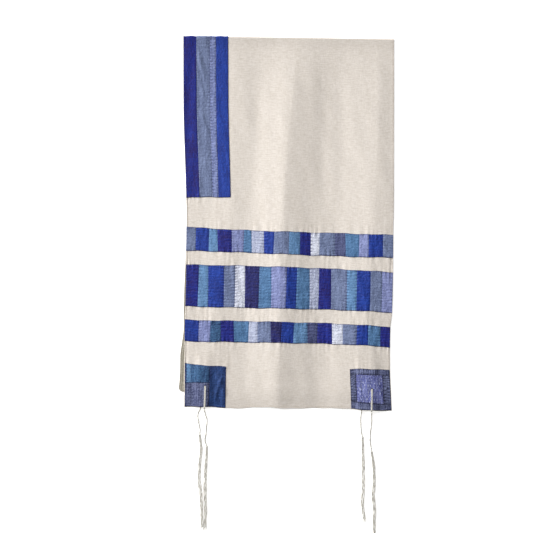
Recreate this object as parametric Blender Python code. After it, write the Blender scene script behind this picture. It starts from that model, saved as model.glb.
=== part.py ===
"""A tallit prayer shawl, folded once across its middle and laid flat, wrong sides together.

Metres, +Z up. X runs across the cloth and +Y towards the fold. The origin lies on the underside, in
the plain middle of the back layer. The whole cloth is one grid of points that runs from the front
hem up to the fold, over it and down to the back hem. Everything sewn on the cloth is cut from that
grid and moved out, so it follows every fold of the cloth below it.
"""

import math

import bpy
import numpy as np

MM = 0.001
OBJECT_NAME = "tallit_prayer_shawl"

# Walls and gaps
CLOTH_WALL = 1.2 * MM
PATCH_WALL = 1.0 * MM
SEAM_GAP = 0.3 * MM          # air between two pieces that are sewn together
PATCH_LIFT = SEAM_GAP + PATCH_WALL

# The fold
FOLD_ABOVE_ORIGIN = 297.6 * MM     # from the origin to the fold's left end
FOLD_BULGE = 2 * MM              # how far the roll of the fold reaches past its two layers
FOLD_STEPS = 6
BACK_SHORTER = 38 * MM           # the back layer ends this much higher than the front one

# Lines across the cloth, from the fold down to the hem, in mm.
#   front_steps, back_steps  strips of mesh between this line and the line above it
#   left_drop .. right_drop  how far the line lies below the fold's left end, at the DROP_SHARES
#   left_x, right_x          the two edges of the front layer
#   back_slip                how far the back layer is pushed to the left of the front one
#   rest_z, cord_z           height of the front layer's middle, on the cloth below and over the cords
#   ridge                    strength of the soft ridges here, 0 to 1
LINE_COLUMNS = ("front_steps", "back_steps", "left_drop", "fifth_drop", "middle_drop", "right_drop",
                "left_x", "right_x", "back_slip", "rest_z", "cord_z", "ridge")
LINES = {
    "fold":            (0, 0,   0.0,   0.6,   2.9,   6.5, -267.1, 267.7,  0.0, 6.5, 6.5, 0.1),
    "shoulder":        (1, 1,  28.0,  28.8,  31.3,  35.2, -267.1, 267.7,  0.0, 3.9, 3.9, 0.3),
    "neckband_middle": (3, 1, 158.6, 160.0, 162.5, 166.0, -266.8, 267.5,  0.0, 3.5, 3.5, 0.9),
    "neckband_end":    (5, 2, 407.3, 406.3, 411.0, 417.6, -259.8, 267.0,  0.0, 3.5, 3.5, 1.0),
    "upper_top":       (2, 1, 480.9, 487.5, 494.3, 502.2, -258.8, 265.5,  0.0, 3.5, 3.5, 1.0),
    "upper_bottom":    (2, 1, 542.0, 545.1, 552.2, 559.8, -259.8, 265.2,  0.0, 3.5, 3.5, 0.9),
    "middle_top":      (1, 1, 576.9, 578.9, 584.0, 596.9, -259.3, 264.8,  1.5, 3.5, 3.5, 0.9),
    "middle_bottom":   (3, 1, 682.8, 685.8, 689.4, 699.5, -261.5, 262.5,  3.5, 3.5, 3.5, 0.9),
    "lower_top":       (1, 1, 716.8, 719.4, 723.2, 735.4, -263.0, 258.3,  3.0, 3.5, 3.5, 0.9),
    "lower_bottom":    (2, 1, 771.4, 773.7, 776.2, 786.9, -263.4, 257.3,  2.8, 3.5, 3.5, 0.9),
    "square_top":      (2, 1, 826.5, 836.3, 841.5, 843.2, -264.0, 257.6,  8.7, 3.5, 5.6, 0.85),
    "inset_top":       (1, 1, 842.6, 850.0, 854.5, 858.0, -264.1, 258.0, 10.8, 3.5, 6.8, 0.8),
    "left_seam":       (1, 1, 876.0, 876.0, 877.0, 885.0, -264.2, 259.2, 11.3, 3.5, 6.9, 0.75),
    "eyelets":         (1, 1, 885.5, 885.5, 886.0, 897.0, -264.3, 259.8, 11.5, 3.5, 6.9, 0.75),
    "back_hem":        (1, 1, 911.6, 911.6, 909.6, 921.6, -264.6, 260.8, 12.6, 3.5, 7.0, 0.65),
    "inset_bottom":    (1, 1, 924.0, 926.0, 922.0, 934.0, -264.8, 261.3, 13.6, 1.4, 6.8, 0.6),
    "hem_line":        (1, 1, 935.7, 938.2, 935.5, 947.3, -265.0, 262.0, 14.0, 0.6, 6.5, 0.55),
    "hem":             (1, 1, 938.2, 940.7, 938.0, 949.8, -265.0, 262.0, 14.0, 0.6, 6.5, 0.55),
}
DROP_SHARES = (0.0, 0.2, 0.54, 1.0)

# Lines down the cloth, from its left edge to its right edge, as shares of its width.
#   steps                    strips of mesh between this line and the line before it
#   at_fold, at_end, at_hem  its place at the fold, at the neckband's end and at the hem
COLUMN_COLUMNS = ("steps", "at_fold", "at_end", "at_hem")
COLUMNS = {
    "left_edge":      (0, 0.0,    0.0,    0.0),
    "left_hem":       (1, 0.0015, 0.0015, 0.0015),
    "neck_seam_1":    (1, 0.062,  0.065,  0.040),
    "left_cord":      (1, 0.088,  0.088,  0.074),
    "left_eyelet":    (1, 0.126,  0.127,  0.098),
    "neck_seam_3":    (1, 0.155,  0.156,  0.117),
    "neckband_edge":  (1, 0.214,  0.2155, 0.199),
    "right_square":   (12, 0.804,  0.804,  0.804),
    "inset_left":     (1, 0.8325, 0.8325, 0.8325),
    "right_cord":     (1, 0.855,  0.855,  0.855),
    "right_eyelet":   (1, 0.907,  0.907,  0.907),
    "inset_right":    (1, 0.9635, 0.9635, 0.9635),
    "right_hem":      (1, 0.9985, 0.9985, 0.9985),
    "right_edge":     (1, 1.0,    1.0,    1.0),
}
# How much of its full rise the cloth has at these lines: over the cords under the front layer, and
# over the loops under the back layer
CORD_RISE = {"left_cord": 1.0, "left_eyelet": 1.0, "neck_seam_3": 0.7, "right_cord": 1.0, "right_eyelet": 1.0}
LOOP_RISE = {"left_eyelet": 1.0, "neck_seam_3": 0.7, "right_eyelet": 1.0}

# Soft ridges that run down the front layer, in mm: their X at the fold, the neckband's end and the
# hem, their height, and how far each one reaches to its left and its right
RIDGES = (
    {"x": (20, -14, -29), "height": 11.5, "reach": (80, 95)},
    {"x": (222, 219, 160), "height": 6.5, "reach": (84, 110)},
    {"x": (-140, -150, -225), "height": 3.0, "reach": (60, 80)},
)
CREST_ROUNDING = (24, 7, 5)          # how soft the crests are at the same three places, in mm
FOOT_ROUNDING = 0.14                 # how soft the feet are, as a share of the reach
BACK_CORNER = 12 * MM                # size of the rounding of the back layer's lower left corner

# Silks, as sRGB hex values
SILKS = {
    "ivory": "E1D8CF",
    "indigo": "353C82",
    "royal": "2E469E",
    "steel": "587AA5",
    "slate": "727E9E",
    "lavender": "858EB8",
    "pale": "B4BCD2",
    "teal": "46587E",
    "cord": "E9E7E2",
}
BAND_ORDER = ("royal", "slate", "indigo", "lavender", "steel", "royal", "pale", "indigo", "slate", "steel",
              "lavender")

# Pieces sewn on: the lines that bound each one, and its silk. "front" and "back" name the layer, and
# "both" runs from the front over the fold to the back. A band is pieced from many silks.
PATCHES = {
    "band_front_upper":   ("front", "upper_top", "upper_bottom", "left_edge", "right_edge", "band"),
    "band_front_middle":  ("front", "middle_top", "middle_bottom", "left_edge", "right_edge", "band"),
    "band_front_lower":   ("front", "lower_top", "lower_bottom", "left_edge", "right_edge", "band"),
    "band_back_upper":    ("back", "upper_top", "upper_bottom", "left_edge", "right_edge", "band"),
    "band_back_middle":   ("back", "middle_top", "middle_bottom", "left_edge", "right_edge", "band"),
    "band_back_lower":    ("back", "lower_top", "lower_bottom", "left_edge", "right_edge", "band"),
    "neckband_strip_1":   ("both", "neckband_end", "neckband_end", "left_edge", "neck_seam_1", "indigo"),
    "neckband_strip_2":   ("both", "neckband_end", "neckband_end", "neck_seam_1", "left_eyelet", "slate"),
    "neckband_strip_3":   ("both", "neckband_end", "neckband_end", "left_eyelet", "neck_seam_3", "lavender"),
    "neckband_strip_4":   ("both", "neckband_end", "neckband_end", "neck_seam_3", "neckband_edge", "royal"),
    "corner_left_top":    ("front", "square_top", "left_seam", "left_hem", "neck_seam_3", "teal"),
    "corner_left_low":    ("front", "left_seam", "hem_line", "left_hem", "neck_seam_3", "slate"),
    "corner_left_side":   ("front", "square_top", "hem_line", "neck_seam_3", "neckband_edge", "royal"),
    "corner_right_inset": ("front", "inset_top", "inset_bottom", "inset_left", "inset_right", "lavender"),
    "corner_right_top":   ("front", "square_top", "inset_top", "right_square", "right_hem", "teal"),
    "corner_right_low":   ("front", "inset_bottom", "hem_line", "right_square", "right_hem", "teal"),
    "corner_right_inner": ("front", "inset_top", "inset_bottom", "right_square", "inset_left", "teal"),
    "corner_right_outer": ("front", "inset_top", "inset_bottom", "inset_right", "right_hem", "teal"),
    "corner_back_left":   ("back", "square_top", "hem_line", "left_hem", "neckband_edge", "teal"),
    "corner_back_right":  ("back", "square_top", "hem_line", "right_square", "right_hem", "teal"),
}

# Tassels
EYELET_RADIUS = 2.8 * MM
CUTTER_SIDES = 12
WOUND_RADIUS = 2.1 * MM
KNOT_RADIUS = 2.5 * MM
LAST_KNOT_RADIUS = 3.3 * MM
KNOT_HALF_LENGTH = 2.6 * MM
KNOT_PLACES = (0.0, 0.18, 0.385, 0.667, 1.0)     # along the wound cord: 7, 8, 11 and 13 turns between them
KNOT_SPREAD = 0.035                              # half length of a knot's bulge, as a share of that length
OFF_FLOOR = 0.35 * MM            # the tassels lie just clear of the floor
WOUND_SIDES = 6
WOUND_RINGS = 22
LOOP_HALF_WIDTH = 1.5 * MM
LOOP_HALF_HEIGHT = 0.4 * MM
LOOP_SIDES = 4
LOOP_RINGS = 36
LOOP_PAST_HEM = 2.0 * MM         # it runs this far past the hem before it turns to the knot
LOOP_TURN = 3 * MM               # and starts its turn into the eyelet this far from it
LOOP_SLACK = 0.2 * MM            # it lies this much off the cloth
STRAND_RADIUS = 0.8 * MM
STRAND_SIDES = 3
STRAND_RINGS = 11
STRAND_PITCH = (1.5 * MM, 2.2 * MM, 2.0 * MM)    # between neighbours: at the knot, half way, at the ends
STRAND_LAYER = 1.95 * MM                         # the upper four strands lie this much above the lower four

# Each tassel lies along these X and Y places, in mm. The wound cord runs from the knot at the hem to
# the last knot, and the strands from there to their ends.
TASSELS = {
    "tassel_front_left": {
        "layer": "front", "eyelet": "left_eyelet",
        "wound": ((-213.4, -650), (-210.6, -661), (-207, -674), (-208.6, -692), (-209.6, -707), (-212, -725),
                  (-207.8, -741)),
        "strands": ((-208, -763), (-210.5, -801), (-212, -852), (-209.6, -903), (-210.8, -956)),
    },
    "tassel_back_left": {
        "layer": "back", "eyelet": "left_eyelet",
        "wound": ((-224, -611.5), (-222.4, -625), (-222.6, -641), (-228.4, -654), (-230.6, -665), (-227.3, -684),
                  (-224.8, -699), (-226, -711)),
        "strands": ((-222.8, -732), (-221.8, -750), (-224.8, -781), (-227.3, -821), (-223.9, -852),
                    (-221.8, -890), (-221.8, -956)),
    },
    "tassel_front_right": {
        "layer": "front", "eyelet": "right_eyelet",
        "wound": ((210.6, -657), (210.8, -669), (210.3, -684), (207.8, -705), (207, -725), (210.6, -754)),
        "strands": ((214.4, -776), (217.2, -806), (217.2, -839), (214.8, -865), (218.2, -903), (217.2, -941),
                    (220, -981)),
    },
    "tassel_back_right": {
        "layer": "back", "eyelet": "right_eyelet",
        "wound": ((199, -618), (192, -633.5), (185.4, -651), (182.9, -674), (184.1, -699), (187.6, -718)),
        "strands": ((188.7, -750), (189.7, -801), (189.2, -852), (187.6, -890), (191.4, -915), (194, -938)),
    },
}


def linear(hex_colour):
    """The linear red, green and blue of an sRGB hex value, with an alpha of 1."""
    channels = [int(hex_colour[k:k + 2], 16) / 255 for k in (0, 2, 4)]
    return [c / 12.92 if c <= 0.04045 else ((c + 0.055) / 1.055) ** 2.4 for c in channels] + [1.0]


def silk(name):
    """The material of one silk, made once."""
    material = bpy.data.materials.get(name)
    if material is None:
        material = bpy.data.materials.new(name)
        material.use_nodes = True
        shader = material.node_tree.nodes["Principled BSDF"]
        shader.inputs["Base Color"].default_value = linear(SILKS[name])
        shader.inputs["Roughness"].default_value = 0.8 if name in ("ivory", "cord") else 0.45
        shader.inputs["Metallic"].default_value = 0.0
    return material


def new_object(name, points, faces, materials, collection):
    """An object from its points and faces, placed in the collection, its origin at the world's."""
    mesh = bpy.data.meshes.new(name)
    mesh.from_pydata(points.tolist(), [], faces.tolist())
    for material in materials:
        mesh.materials.append(silk(material))
    mesh.update()
    obj = bpy.data.objects.new(name, mesh)
    collection.objects.link(obj)
    return obj


# ---------------------------------------------------------------- the cloth's grid of points

def fine_table(rows, fields, steps_field):
    """The rows of a table with the even steps between them, as one array for each field.

    Also says at which fine row each named row lies.
    """
    values = np.array(list(rows.values()), dtype=float)
    place = np.cumsum(values[:, fields.index(steps_field)]).astype(int)
    fine = np.arange(place[-1] + 1)
    table = {field: np.interp(fine, place, values[:, k]) for k, field in enumerate(fields)}
    return table, dict(zip(rows, place.tolist()))


def shares_across(lines, columns):
    """Each grid point's share of the cloth's width, a row for each line across."""
    ends = (0.0, LINES["neckband_end"][2], LINES["hem"][2])
    stops = np.stack([columns["at_fold"], columns["at_end"], columns["at_hem"]])
    return np.stack([np.interp(lines["left_drop"], ends, stop) for stop in stops.T], axis=1)


def layer_plan(lines, columns):
    """X and Y of every point of the front layer, and how far it lies below the fold's left end."""
    share = shares_across(lines, columns)
    drops = np.stack([lines[field] for field in ("left_drop", "fifth_drop", "middle_drop", "right_drop")], axis=1)
    drop = np.stack([np.interp(s, DROP_SHARES, d) for s, d in zip(share, drops)]) * MM
    left, right = lines["left_x"][:, None] * MM, lines["right_x"][:, None] * MM
    return left + share * (right - left), drop


def ridge_height(x, drop, strength):
    """Height of the soft ridges: each is a tent that falls evenly from its crest to nothing at its reach."""
    stops = np.array([0.0, LINES["neckband_end"][2], LINES["hem"][2]]) * MM
    rounding = np.interp(drop, stops, CREST_ROUNDING) * MM
    height = np.zeros_like(x)
    for ridge in RIDGES:
        away = x - np.interp(drop, stops, np.array(ridge["x"]) * MM)
        reach = np.where(away < 0, ridge["reach"][0], ridge["reach"][1]) * MM
        above_foot = 1 - np.hypot(away, rounding) / reach
        height += ridge["height"] * MM * (above_foot + np.hypot(above_foot, FOOT_ROUNDING)) / 2
    return height * strength[:, None]


def rounded_corner(x, drop):
    """The same grid with its lower left corner rounded: there a square of it is drawn in to a quarter disc."""
    side = np.clip(1 - (x - x[:, :1]) / BACK_CORNER, 0, 1)
    end = np.clip(1 - (drop[-1:] - drop) / BACK_CORNER, 0, 1)
    return (x + BACK_CORNER * side * (1 - np.sqrt(1 - end ** 2 / 2)),
            drop - BACK_CORNER * end * (1 - np.sqrt(1 - side ** 2 / 2)))


def front_layer(lines, columns, column_at):
    """Middle points of the front layer, from the fold down to the hem."""
    x, drop = layer_plan(lines, columns)
    z = np.repeat(lines["rest_z"][:, None], x.shape[1], axis=1)
    for name, rise in CORD_RISE.items():
        z[:, column_at[name]] += rise * (lines["cord_z"] - lines["rest_z"])
    z = z * MM + ridge_height(x, drop, lines["ridge"])
    return np.stack([x, FOLD_ABOVE_ORIGIN - drop, z], axis=2)


def back_layer(lines, columns, line_at, column_at):
    """Middle points of the back layer, from the fold down to the hem.

    It lies on the floor, and rises over the pieces sewn on its underside and over the tassels' loops.
    """
    x, drop = layer_plan(lines, columns)
    x = x - lines["back_slip"][:, None] * MM
    from_fold = drop - drop[0]
    neckband_reach = LINES["neckband_end"][2] * MM
    drop = drop - BACK_SHORTER * np.clip(from_fold / neckband_reach, 0, 1)
    x, drop = rounded_corner(x, drop)
    z = np.full_like(x, CLOTH_WALL / 2)
    for layer, top, bottom, left, right, _ in PATCHES.values():
        if layer == "front":
            continue
        first = line_at["fold"] if layer == "both" else line_at[top]
        rows = slice(first, line_at[bottom] + 1)
        z[rows, column_at[left]:column_at[right] + 1] = CLOTH_WALL / 2 + PATCH_LIFT
    loop_room = 2 * LOOP_HALF_HEIGHT + LOOP_SLACK + 2 * SEAM_GAP
    for name, rise in LOOP_RISE.items():
        z[line_at["eyelets"]:, column_at[name]] += rise * loop_room
    return np.stack([x, FOLD_ABOVE_ORIGIN - drop, z], axis=2)


def fold_roll(front_edge, back_edge):
    """Points between the two layers at the fold: half an ellipse over the end of each line down."""
    turn = np.linspace(0, math.pi, FOLD_STEPS + 1)[1:-1, None]
    centre = (front_edge + back_edge) / 2
    half_height = (front_edge[:, 2] - back_edge[:, 2]) / 2
    x = np.repeat(centre[None, :, 0], len(turn), axis=0)
    y = centre[:, 1] + FOLD_BULGE * np.sin(turn)
    z = centre[:, 2] + half_height * np.cos(turn)
    return np.stack([x, y, z], axis=2)


class Sheet:
    """The cloth's grid: its middle points, the way out at each row, and where the named lines are."""

    def __init__(self):
        columns, self.column_at = fine_table(COLUMNS, COLUMN_COLUMNS, "steps")
        front_lines, front_at = fine_table(LINES, LINE_COLUMNS, "front_steps")
        back_lines, back_at = fine_table(LINES, LINE_COLUMNS, "back_steps")
        front = front_layer(front_lines, columns, self.column_at)[::-1]
        back = back_layer(back_lines, columns, back_at, self.column_at)
        roll = fold_roll(front[-1], back[0])
        self.middle = np.concatenate([front, roll, back])
        turn = np.concatenate([np.zeros(len(front)), np.linspace(0, math.pi, FOLD_STEPS + 1)[1:-1],
                               np.full(len(back), math.pi)])
        self.outward = np.stack([np.zeros_like(turn), np.sin(turn), np.cos(turn)], axis=1).round(9)[:, None]
        last_front = len(front) - 1
        first_back = last_front + FOLD_STEPS
        self.row_at = {"front": {name: last_front - at for name, at in front_at.items()},
                       "back": {name: first_back + at for name, at in back_at.items()}}

    def offset(self, distance):
        """All the grid's points, moved out of the cloth's middle by a distance."""
        return self.middle + self.outward * distance

    def span(self, layer, top, bottom, left, right):
        """The rows and columns of the grid that a piece covers."""
        if layer == "both":
            rows = (self.row_at["front"][bottom], self.row_at["back"][bottom])
        else:
            rows = sorted((self.row_at[layer][top], self.row_at[layer][bottom]))
        return slice(rows[0], rows[1] + 1), slice(self.column_at[left], self.column_at[right] + 1)

    def point(self, layer, line, column):
        """The middle point where a named line crosses a named column."""
        return self.middle[self.row_at[layer][line], self.column_at[column]]


def pulled_in(grid, distance):
    """A grid whose four borders are moved towards its inside, so that it clears its neighbours."""
    moved = grid.copy()
    for border, inside in (((0,), (1,)), ((-1,), (-2,)), ((slice(None), 0), (slice(None), 1)),
                           ((slice(None), -1), (slice(None), -2))):
        step = grid[inside] - grid[border]
        moved[border] += step / np.linalg.norm(step, axis=-1, keepdims=True) * distance
    return moved


def wall_faces(rows, columns):
    """Triangles of a closed wall: the outer grid, the inner grid behind it and the rim between them."""
    index = np.arange(rows * columns).reshape(rows, columns)
    a, b, c, d = index[:-1, :-1], index[:-1, 1:], index[1:, 1:], index[1:, :-1]
    outer = np.concatenate([np.stack([a, b, c], -1).reshape(-1, 3), np.stack([a, c, d], -1).reshape(-1, 3)])
    inner = outer[:, ::-1] + rows * columns
    p = np.concatenate([index[0, :-1], index[:-1, -1], index[-1, :0:-1], index[:0:-1, 0]])
    q = np.roll(p, -1)
    behind_p, behind_q = p + rows * columns, q + rows * columns
    rim = np.concatenate([np.stack([p, behind_p, behind_q], -1), np.stack([p, behind_q, q], -1)])
    return np.concatenate([outer, inner, rim])


def wall(name, outer, inner, materials, collection):
    """A wall of cloth between two grids of points, as an object."""
    points = np.concatenate([outer.reshape(-1, 3), inner.reshape(-1, 3)]).round(9)
    return new_object(name, points, wall_faces(*outer.shape[:2]), materials, collection)


def cloth(sheet, collection):
    """The main cloth, from the front hem over the fold to the back hem."""
    return wall("cloth", sheet.offset(CLOTH_WALL / 2), sheet.offset(-CLOTH_WALL / 2), ["ivory"], collection)


def patch(sheet, name, collection):
    """A piece sewn on the cloth, made from the cloth's own points moved out."""
    *bounds, silk_name = PATCHES[name]
    rows, columns = sheet.span(*bounds)
    inner = pulled_in(sheet.offset(CLOTH_WALL / 2 + SEAM_GAP)[rows, columns], SEAM_GAP / 2)
    outer = pulled_in(sheet.offset(CLOTH_WALL / 2 + PATCH_LIFT)[rows, columns], SEAM_GAP / 2)
    if silk_name != "band":
        return wall(name, outer, inner, [silk_name], collection)
    band = wall(name, outer, inner, BAND_ORDER, collection)
    x = np.array([polygon.center.x for polygon in band.data.polygons])
    edges = outer[0, :, 0]
    piece = np.clip(np.searchsorted(edges, x) - 1, 0, len(edges) - 2) % len(BAND_ORDER)
    band.data.polygons.foreach_set("material_index", piece.astype(np.int32))
    return band


# ---------------------------------------------------------------- eyelets

def eyelet_cutter(sheet, layer, column, collection):
    """A pin through one layer at an eyelet, long enough to pass the cloth and the piece sewn on it."""
    out_of_cloth = 3 * MM
    into_gap = -1.2 * MM
    middle = sheet.point(layer, "eyelets", column)
    way_out = 1 if layer == "front" else -1
    ends = sorted((middle[2] + way_out * out_of_cloth, middle[2] + way_out * into_gap))
    bpy.ops.mesh.primitive_cylinder_add(
        vertices=CUTTER_SIDES, radius=EYELET_RADIUS, depth=ends[1] - ends[0],
        location=(middle[0], middle[1], (ends[0] + ends[1]) / 2))
    cutter = bpy.context.active_object
    cutter.name = f"eyelet_{layer}_{column}"
    for owner in list(cutter.users_collection):
        owner.objects.unlink(cutter)
    collection.objects.link(cutter)
    cutter.hide_render = True
    cutter.display_type = "WIRE"
    return cutter


def cut(obj, cutter):
    """Take one cutter's shape out of an object."""
    modifier = obj.modifiers.new(cutter.name, "BOOLEAN")
    modifier.operation = "DIFFERENCE"
    modifier.object = cutter
    modifier.solver = "EXACT"


# ---------------------------------------------------------------- tassels

def smooth_path(points, count, closed=False):
    """A smooth path through the points (Catmull-Rom), with evenly shared steps, as an array."""
    points = np.asarray(points, dtype=float)
    if closed:
        padded = np.concatenate([points[-1:], points, points[:2]])
    else:
        padded = np.concatenate([2 * points[:1] - points[1:2], points, 2 * points[-1:] - points[-2:-1]])
    spans = len(padded) - 3
    place = np.linspace(0, spans, count, endpoint=not closed)
    span = np.minimum(place.astype(int), spans - 1)
    t = (place - span)[:, None]
    p0, p1, p2, p3 = (padded[span + k] for k in range(4))
    return 0.5 * (2 * p1 + (p2 - p0) * t + (2 * p0 - 5 * p1 + 4 * p2 - p3) * t ** 2
                  + (3 * p1 - p0 - 3 * p2 + p3) * t ** 3)


def tube(name, path, half_widths, half_heights, sides, collection, across=None):
    """A cord: an elliptical ring of points round every point of its path.

    across is the ring's wide direction. Left out, it is level and square to the path. Without it the
    cord is open and capped, and with it the cord is a closed loop.
    """
    closed = across is not None
    count = len(path)
    if closed:
        along = np.roll(path, -1, axis=0) - np.roll(path, 1, axis=0)
    else:
        along = np.gradient(path, axis=0)
    along /= np.linalg.norm(along, axis=1, keepdims=True)
    wide = np.broadcast_to(across, path.shape) if closed else np.cross(along, (0, 0, 1))
    wide = wide / np.linalg.norm(wide, axis=1, keepdims=True)
    high = np.cross(wide, along)
    angle = np.linspace(0, 2 * math.pi, sides, endpoint=False) + math.pi / 2
    rings = (path[:, None] + wide[:, None] * np.cos(angle)[:, None] * np.reshape(half_widths, (-1, 1, 1))
             + high[:, None] * np.sin(angle)[:, None] * np.reshape(half_heights, (-1, 1, 1)))
    index = np.arange(count * sides).reshape(count, sides)
    here = index if closed else index[:-1]
    ahead = np.roll(index, -1, axis=0) if closed else index[1:]
    here_next, ahead_next = np.roll(here, -1, axis=1), np.roll(ahead, -1, axis=1)
    faces = [np.stack([here, here_next, ahead_next], -1).reshape(-1, 3),
             np.stack([here, ahead_next, ahead], -1).reshape(-1, 3)]
    points = rings.reshape(-1, 3)
    if not closed:
        points = np.concatenate([points, path[:1], path[-1:]])
        start, end = count * sides, count * sides + 1
        faces.append(np.stack([np.roll(index[0], -1), index[0], np.full(sides, start)], -1))
        faces.append(np.stack([index[-1], np.roll(index[-1], -1), np.full(sides, end)], -1))
    return new_object(name, points, np.concatenate(faces), ["cord"], collection)


def wound_radii(count):
    """Radius of the wound cord along its length, with a bulge at each knot, and the last one largest."""
    place = np.linspace(0, 1, count)
    radius = np.full(count, WOUND_RADIUS)
    for knot in KNOT_PLACES:
        peak = LAST_KNOT_RADIUS if knot == KNOT_PLACES[-1] else KNOT_RADIUS
        bulge = WOUND_RADIUS + (peak - WOUND_RADIUS) * np.exp(-((place - knot) / KNOT_SPREAD) ** 2)
        radius = np.maximum(radius, bulge)
    return radius


def wound_cord(name, places, collection):
    """The wound and knotted cord that the strands hang from, lying just clear of the floor."""
    flat = smooth_path([(x * MM, y * MM) for x, y in places], WOUND_RINGS)
    ahead = (flat[-1] - flat[-2]) / np.linalg.norm(flat[-1] - flat[-2])
    back = (flat[0] - flat[1]) / np.linalg.norm(flat[0] - flat[1])
    flat = np.concatenate([[flat[0] + back * KNOT_HALF_LENGTH], flat, [flat[-1] + ahead * KNOT_HALF_LENGTH]])
    radius = wound_radii(WOUND_RINGS)
    heights = np.concatenate([radius[:1], radius, radius[-1:]]) + OFF_FLOOR
    radius = np.concatenate([radius[:1] * 0.6, radius, radius[-1:] * 0.6])
    path = np.column_stack([flat, heights])
    return tube(name, path, radius, radius, WOUND_SIDES, collection), path


def loop_path(sheet, layer, column, knot):
    """The closed way of the loop: from the knot over the cloth to the eyelet, and back under it.

    It runs straight from the knot to the eyelet, and its heights follow the cloth's at the named lines.
    """
    lines = ("hem", "hem_line", "inset_bottom", "back_hem", "eyelets")
    cloth_points = np.stack([sheet.point(layer, line, column) for line in lines])
    cloth_points[0, 1] -= LOOP_PAST_HEM
    cloth_points = np.insert(cloth_points, -1, cloth_points[-1] - (0, LOOP_TURN, 0), axis=0)
    share = (cloth_points[:, 1] - knot[1]) / (cloth_points[-1, 1] - knot[1])
    way = knot[:2] + share[:, None] * (cloth_points[-1, :2] - knot[:2])
    bare = CLOTH_WALL / 2 + SEAM_GAP + LOOP_HALF_HEIGHT + LOOP_SLACK
    sewn = bare + PATCH_LIFT
    above, below = (sewn, bare) if layer == "front" else (bare, sewn)
    lowest = OFF_FLOOR + LOOP_HALF_HEIGHT
    over = np.column_stack([way, cloth_points[:, 2] + above])
    under = np.column_stack([way, np.maximum(cloth_points[:, 2] - below, lowest)])[::-1]
    across = np.array([way[-1, 1] - way[0, 1], way[0, 0] - way[-1, 0], 0.0])
    return smooth_path(np.concatenate([[knot], over, under]), LOOP_RINGS, closed=True), across


def strand_path(root, places, lane, level, reach):
    """One strand: the tassel's way, moved sideways to its own lane and down to its own level."""
    flat = smooth_path([root[:2]] + [(x * MM, y * MM) for x, y in places], STRAND_RINGS)
    along = np.gradient(flat, axis=0)
    along /= np.linalg.norm(along, axis=1, keepdims=True)
    sideways = np.column_stack([along[:, 1], -along[:, 0]])
    place = np.linspace(0, 1, STRAND_RINGS)
    pitch = np.interp(place, (0, 0.5, 1), STRAND_PITCH)
    flat = flat + sideways * (lane * pitch)[:, None]
    rest = OFF_FLOOR + STRAND_RADIUS + level * STRAND_LAYER
    start = root[2] + (level - 0.5) * STRAND_LAYER
    z = rest + (start - rest) * np.exp(-place / 0.06)
    path = np.column_stack([flat, z])
    ends = np.linspace(0, reach * (STRAND_RINGS - 1), STRAND_RINGS)
    return np.column_stack([np.interp(ends, np.arange(STRAND_RINGS), path[:, k]) for k in range(3)])


def tassel(sheet, name, collection, operands):
    """One tassel as one solid: the wound cord, joined with its loop and its eight strands."""
    plan = TASSELS[name]
    head, path = wound_cord(name, plan["wound"], collection)
    parts = bpy.data.collections.new(f"{name}_joined")
    operands.children.link(parts)
    way, across = loop_path(sheet, plan["layer"], plan["eyelet"], path[1])
    tube(f"{name}_loop", way, [LOOP_HALF_WIDTH] * len(way), [LOOP_HALF_HEIGHT] * len(way), LOOP_SIDES, parts, across)
    for number in range(8):
        lane = number % 4 - 1.5
        level = number // 4
        reach = 1 - 0.012 * ((number * 3) % 8)
        strand = strand_path(path[-2], plan["strands"], lane, level, reach)
        radii = [STRAND_RADIUS] * len(strand)
        tube(f"{name}_strand_{number}", strand, radii, radii, STRAND_SIDES, parts)
    for part in parts.objects:
        part.hide_render = True
        part.display_type = "WIRE"
    join = head.modifiers.new("join", "BOOLEAN")
    join.operation = "UNION"
    join.operand_type = "COLLECTION"
    join.collection = parts
    join.solver = "EXACT"
    return head


# ---------------------------------------------------------------- the whole shawl

def main():
    for obj in list(bpy.data.objects):
        bpy.data.objects.remove(obj, do_unlink=True)
    shawl = bpy.data.collections.new(OBJECT_NAME)
    cutters = bpy.data.collections.new("cutters")
    for collection in (shawl, cutters):
        bpy.context.scene.collection.children.link(collection)

    sheet = Sheet()
    pieces = {"cloth": cloth(sheet, shawl)}
    for name in PATCHES:
        pieces[name] = patch(sheet, name, shawl)
    holed = {("front", "left_eyelet"): "corner_left_low", ("front", "right_eyelet"): "corner_right_inset",
             ("back", "left_eyelet"): "corner_back_left", ("back", "right_eyelet"): "corner_back_right"}
    for (layer, column), patch_name in holed.items():
        cutter = eyelet_cutter(sheet, layer, column, cutters)
        cut(pieces["cloth"], cutter)
        cut(pieces[patch_name], cutter)
    for name in TASSELS:
        pieces[name] = tassel(sheet, name, shawl, cutters)
    for obj in pieces.values():
        obj.data.shade_smooth()


main()
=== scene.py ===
# %% [markdown]
# # Dressing a folded prayer shawl
#
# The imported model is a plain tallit: a cloth folded once, with bands, a neckband, corner squares and
# four tassels. This lesson gives each of those pieces the surface of the real one. Nothing here moves
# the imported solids. Each new piece is worked out on its own, in metres, in the same frame, and then
# stands for the solid that it replaces.

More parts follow.
